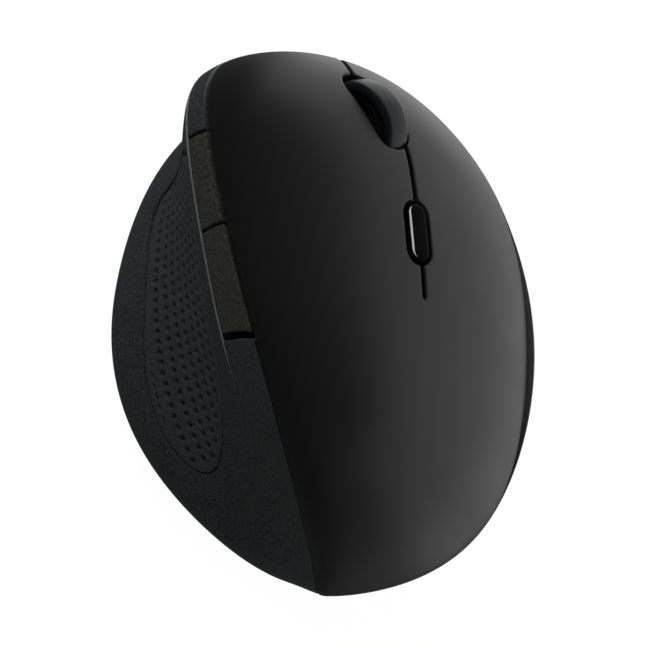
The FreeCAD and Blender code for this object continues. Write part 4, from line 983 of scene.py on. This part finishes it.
def side_buttons():
    forward_end = CUT_FRONT_Y - CUT_NARROW
    forward_start = CUT_MIDDLE_Y + CUT_MIDDLE / 2.0
    back_end = CUT_MIDDLE_Y - CUT_MIDDLE / 2.0
    for key, node, low_y, high_y in (
        ("forward_key", "forward_button", forward_start, forward_end),
        ("back_key", "back_button", None, back_end),
    ):
        def distance_of(params):
            return button_distance(params, low_y, high_y)

        rear = angle_at(BUTTON_SKIN_REAR_Y)
        front = angle_at(BUTTON_SKIN_FRONT_Y)
        skin = band(np.ones_like, seam_at, BUTTON_ROWS, BUTTON_COLUMNS, rear, front)
        skin = ringed(skin, distance_of, BUTTON_ROLL)
        piece = shell_mesh(key + "_cap", skin, distance_of, BUTTON_ROLL, WALL, BUTTON)[0]
        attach(piece, key)
        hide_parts(node)


# Grip with rows of round pits

def pit_depths(params):
    """Depth of the pits, in straight rows, none of them near the grip's edge."""
    points = body(params[:, 0], params[:, 1])
    flat = grip_plane(points)
    inside = -grip_distance(points)
    row = flat[:, 0] / PIT_PITCH_ALONG
    column = flat[:, 1] / PIT_PITCH_ACROSS
    off_along = (row - np.round(row)) * PIT_PITCH_ALONG
    off_across = (column - np.round(column)) * PIT_PITCH_ACROSS
    distance = np.hypot(off_along, off_across) / PIT_RADIUS
    depth = PIT_DEPTH * smooth(PIT_STEEPNESS * (1.0 - distance))
    return np.where(inside > PIT_MARGIN, depth, 0.0)


def thumb_grip():
    def distance_of(params):
        return -grip_distance(body(params[:, 0], params[:, 1]))

    rear = angle_at(GRIP_SKIN_REAR_Y)
    front = angle_at(GRIP_SKIN_FRONT_Y)
    skin = band(lambda a: np.full_like(a, GRIP_SKIN_LOW), np.ones_like, GRIP_ROWS, GRIP_COLUMNS, rear, front)
    skin = ringed(skin, distance_of, GRIP_ROLL)
    piece = shell_mesh("grip_pad", skin, distance_of, GRIP_ROLL, GRIP_DEPTH, GRIP, pit_depths)[0]
    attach(piece, "body")
    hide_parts("thumb_grip")


# Wheel and speed bar

def tyre_ring(profile):
    """Ring turned about the wheel's axis. The profile gives (across, radius) pairs and is closed."""
    centre = np.array([0.0, 0.0, WHEEL_PROUD - WHEEL_RADIUS])
    steps = TYRE_STEPS
    points = []
    for step in range(steps):
        turn = 2.0 * math.pi * step / steps
        for side, radius in profile:
            points.append(centre + np.array([side, radius * math.cos(turn), radius * math.sin(turn)]))
    count = len(profile)
    faces = []
    for step in range(steps):
        for index in range(count):
            following = (index + 1) % count
            a = step * count + index
            b = step * count + following
            c = ((step + 1) % steps) * count + following
            d = ((step + 1) % steps) * count + index
            faces.append((a, b, c, d))
    return mesh_piece("tyre_ring", out_of_frame(np.array(points), WHEEL_FRAME), faces, TYRE)


def wheel():
    """Tyre with round corners and a slightly crowned tread."""
    half = WHEEL_WIDTH / 2.0
    inner = WHEEL_RADIUS - TYRE_THICKNESS
    corner = []
    for index in range(TYRE_CORNER_STEPS):
        turn = math.pi / 2.0 * index / (TYRE_CORNER_STEPS - 1)
        corner.append((TYRE_CORNER * (1.0 - math.cos(turn)), TYRE_CORNER * (1.0 - math.sin(turn))))
    profile = [(-half, inner)]
    profile += [(-half + aside, WHEEL_RADIUS - down) for aside, down in corner]
    for side in TYRE_CROWN_POINTS:
        profile.append((side, WHEEL_RADIUS + TYRE_CROWN * (1.0 - (side / TYRE_CROWN_HALF) ** 2)))
    profile += [(half - aside, WHEEL_RADIUS - down) for aside, down in reversed(corner)]
    profile.append((half, inner))
    piece = tyre_ring(profile)
    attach(piece, "wheel")
    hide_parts("wheel_tyre")


def speed_bar():
    """Long glossy cap: round ends, a broad bevel and a gently crowned top."""
    around = SPEED_STEPS
    levels = len(SPEED_LEVELS)
    reach = (SPEED_LENGTH - SPEED_WIDTH) / 2.0
    points = []
    for height, inset in SPEED_LEVELS:
        radius = SPEED_WIDTH / 2.0 - inset
        for step in range(around):
            turn = 2.0 * math.pi * (step + 0.5) / around
            shift = reach if math.sin(turn) > 0.0 else -reach
            points.append((radius * math.cos(turn), shift + radius * math.sin(turn), height))
    faces = []
    for level in range(levels - 1):
        for step in range(around):
            following = (step + 1) % around
            low = level * around
            high = low + around
            faces.append((low + step, low + following, high + following, high + step))
    faces.append(tuple(range((levels - 1) * around, levels * around)))
    faces.append(tuple(reversed(range(around))))
    piece = mesh_piece("speed_bar", out_of_frame(np.array(points), SPEED_FRAME), faces, BAR)
    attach(piece, "speed_key")
    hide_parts("speed_button")


def speed_painted_highlight_bead():
    """Painted highlight on the left of the bar: a near-white bead around both of its left corners."""
    reach = (SPEED_LENGTH - SPEED_WIDTH) / 2.0
    radius = SPEED_WIDTH / 2.0 - SPEED_HIGHLIGHT_IN
    upper = np.radians(np.linspace(SPEED_HIGHLIGHT_START, SPEED_HIGHLIGHT_LEFT, SPEED_HIGHLIGHT_CORNER_STEPS))
    lower = np.radians(np.linspace(SPEED_HIGHLIGHT_LEFT, SPEED_HIGHLIGHT_END, SPEED_HIGHLIGHT_CORNER_STEPS))
    straight = np.linspace(reach, -reach, SPEED_HIGHLIGHT_STRAIGHT_STEPS)[1:-1]
    flat = np.vstack([
        np.stack([radius * np.cos(upper), reach + radius * np.sin(upper)], -1),
        np.stack([np.full_like(straight, -radius), straight], -1),
        np.stack([radius * np.cos(lower), -reach + radius * np.sin(lower)], -1),
    ])
    local = np.hstack([flat, np.full((len(flat), 1), SPEED_HIGHLIGHT_UP)])
    outward = np.tile(SPEED_FRAME[1][2], (len(flat), 1))
    thick = SPEED_HIGHLIGHT_RADIUS * thinner_ends(len(flat), SPEED_HIGHLIGHT_TAPER)
    # This near-white bead is a painted highlight on the bar's left bevel.
    piece = tube("speed_painted_highlight_bead", out_of_frame(local, SPEED_FRAME), outward, thick, BAR_HIGHLIGHT_PAINT)
    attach(piece, "speed_key")


# Stage: camera, light and floor, in metres. The target is the point of the object that the camera looks at,
# and it appears at the target pixel, counted from the picture's upper left corner.

VIEW_TARGET = Vector((0.0, 0.0, 0.030))
VIEW_DISTANCE = 0.600
VIEW_ELEVATION = 72.0
SENSOR_WIDTH = 36.0
PIXELS = 647.0
PIXELS_PER_MM = 4.76
TARGET_PIXEL = (322.6, 300.14)

# Softboxes that stand around the right side: degrees clockwise from the front, radiance and width
WALLS = ((23.0, 1.22, 0.80), (75.0, 0.94, 1.0), (122.0, 0.84, 0.9), (163.0, 0.22, 0.5))
WALL_LOW = -1.5
WALL_HIGH = 0.8
WALL_AWAY = 1.0

# Small lamp above the left front, the world, and a floor that adds its own light where the camera sees it
FILL_PLACE = (-0.10, 0.32, 0.42)
FILL_SIZE = 0.12
FILL_RADIANCE = 23.0
WORLD_STRENGTH = 0.085
FLOOR_REACH = 3.0
FLOOR_WHITE = 0.8
FLOOR_ROUGH = 0.9
FLOOR_GLOW_SHARE = 0.90
FLOOR_GLOW = 1.09


def camera():
    data = bpy.data.cameras.new("camera")
    data.sensor_width = SENSOR_WIDTH
    data.lens = PIXELS_PER_MM * VIEW_DISTANCE / MM * SENSOR_WIDTH / PIXELS
    data.shift_x = (PIXELS / 2.0 - TARGET_PIXEL[0]) / PIXELS
    data.shift_y = (TARGET_PIXEL[1] - PIXELS / 2.0) / PIXELS
    piece = bpy.data.objects.new("camera", data)
    lift = math.radians(VIEW_ELEVATION)
    offset = Vector((0.0, -math.cos(lift), math.sin(lift))) * VIEW_DISTANCE
    piece.location = VIEW_TARGET + offset
    piece.rotation_euler = (-offset).to_track_quat("-Z", "Y").to_euler()
    bpy.context.scene.collection.objects.link(piece)
    bpy.context.scene.camera = piece


def lamp(name, place, aim, width, height, radiance, mirrored=True):
    """Softbox of even brightness. One that isn't mirrored only lights the matt surfaces."""
    data = bpy.data.lights.new(name, "AREA")
    data.shape = "RECTANGLE"
    data.size = width
    data.size_y = height
    data.energy = radiance * math.pi * width * height
    piece = bpy.data.objects.new(name, data)
    piece.location = place
    piece.rotation_euler = (Vector(aim) - Vector(place)).to_track_quat("-Z", "Y").to_euler()
    piece.visible_glossy = mirrored
    bpy.context.scene.collection.objects.link(piece)


def studio():
    middle = (WALL_LOW + WALL_HIGH) / 2.0
    for index, (turn, radiance, width) in enumerate(WALLS):
        way = math.radians(turn)
        place = (WALL_AWAY * math.sin(way), WALL_AWAY * math.cos(way), middle)
        lamp(f"wall_{index}", place, (0.0, 0.0, middle), width, WALL_HIGH - WALL_LOW, radiance)
    lamp("fill", FILL_PLACE, VIEW_TARGET, FILL_SIZE, FILL_SIZE, FILL_RADIANCE, mirrored=False)
    world = bpy.data.worlds.new("world")
    bpy.context.scene.world = world
    world.use_nodes = True
    background = world.node_tree.nodes["Background"]
    background.inputs["Color"].default_value = (*grey(1.0), 1.0)
    background.inputs["Strength"].default_value = WORLD_STRENGTH


def floor():
    mesh = bpy.data.meshes.new("floor")
    corners = [(x * FLOOR_REACH, y * FLOOR_REACH, 0.0) for x, y in ((-1, -1), (1, -1), (1, 1), (-1, 1))]
    mesh.from_pydata(corners, [], [(0, 1, 2, 3)])
    piece = bpy.data.objects.new("floor", mesh)
    bpy.context.scene.collection.objects.link(piece)
    made, tree, shader = material("floor_paper", grey(FLOOR_WHITE), FLOOR_ROUGH)
    path = tree.nodes.new("ShaderNodeLightPath")
    glow = tree.nodes.new("ShaderNodeEmission")
    blend = tree.nodes.new("ShaderNodeMixShader")
    share = tree.nodes.new("ShaderNodeMath")
    share.operation = "MULTIPLY"
    share.inputs[1].default_value = FLOOR_GLOW_SHARE
    glow.inputs["Strength"].default_value = FLOOR_GLOW
    tree.links.new(path.outputs["Is Camera Ray"], share.inputs[0])
    tree.links.new(share.outputs["Value"], blend.inputs["Fac"])
    tree.links.new(shader.outputs["BSDF"], blend.inputs[1])
    tree.links.new(glow.outputs["Emission"], blend.inputs[2])
    tree.links.new(blend.outputs["Shader"], tree.nodes["Material Output"].inputs["Surface"])
    piece.data.materials.append(made)
    piece.visible_glossy = False


camera()
studio()
floor()
dress_nodes()
crown()
side_shell()
ridge_bead_painted_highlight()
side_buttons()
thumb_grip()
wheel()
speed_bar()
speed_painted_highlight_bead()
bpy.context.scene.view_settings.view_transform = "Standard"
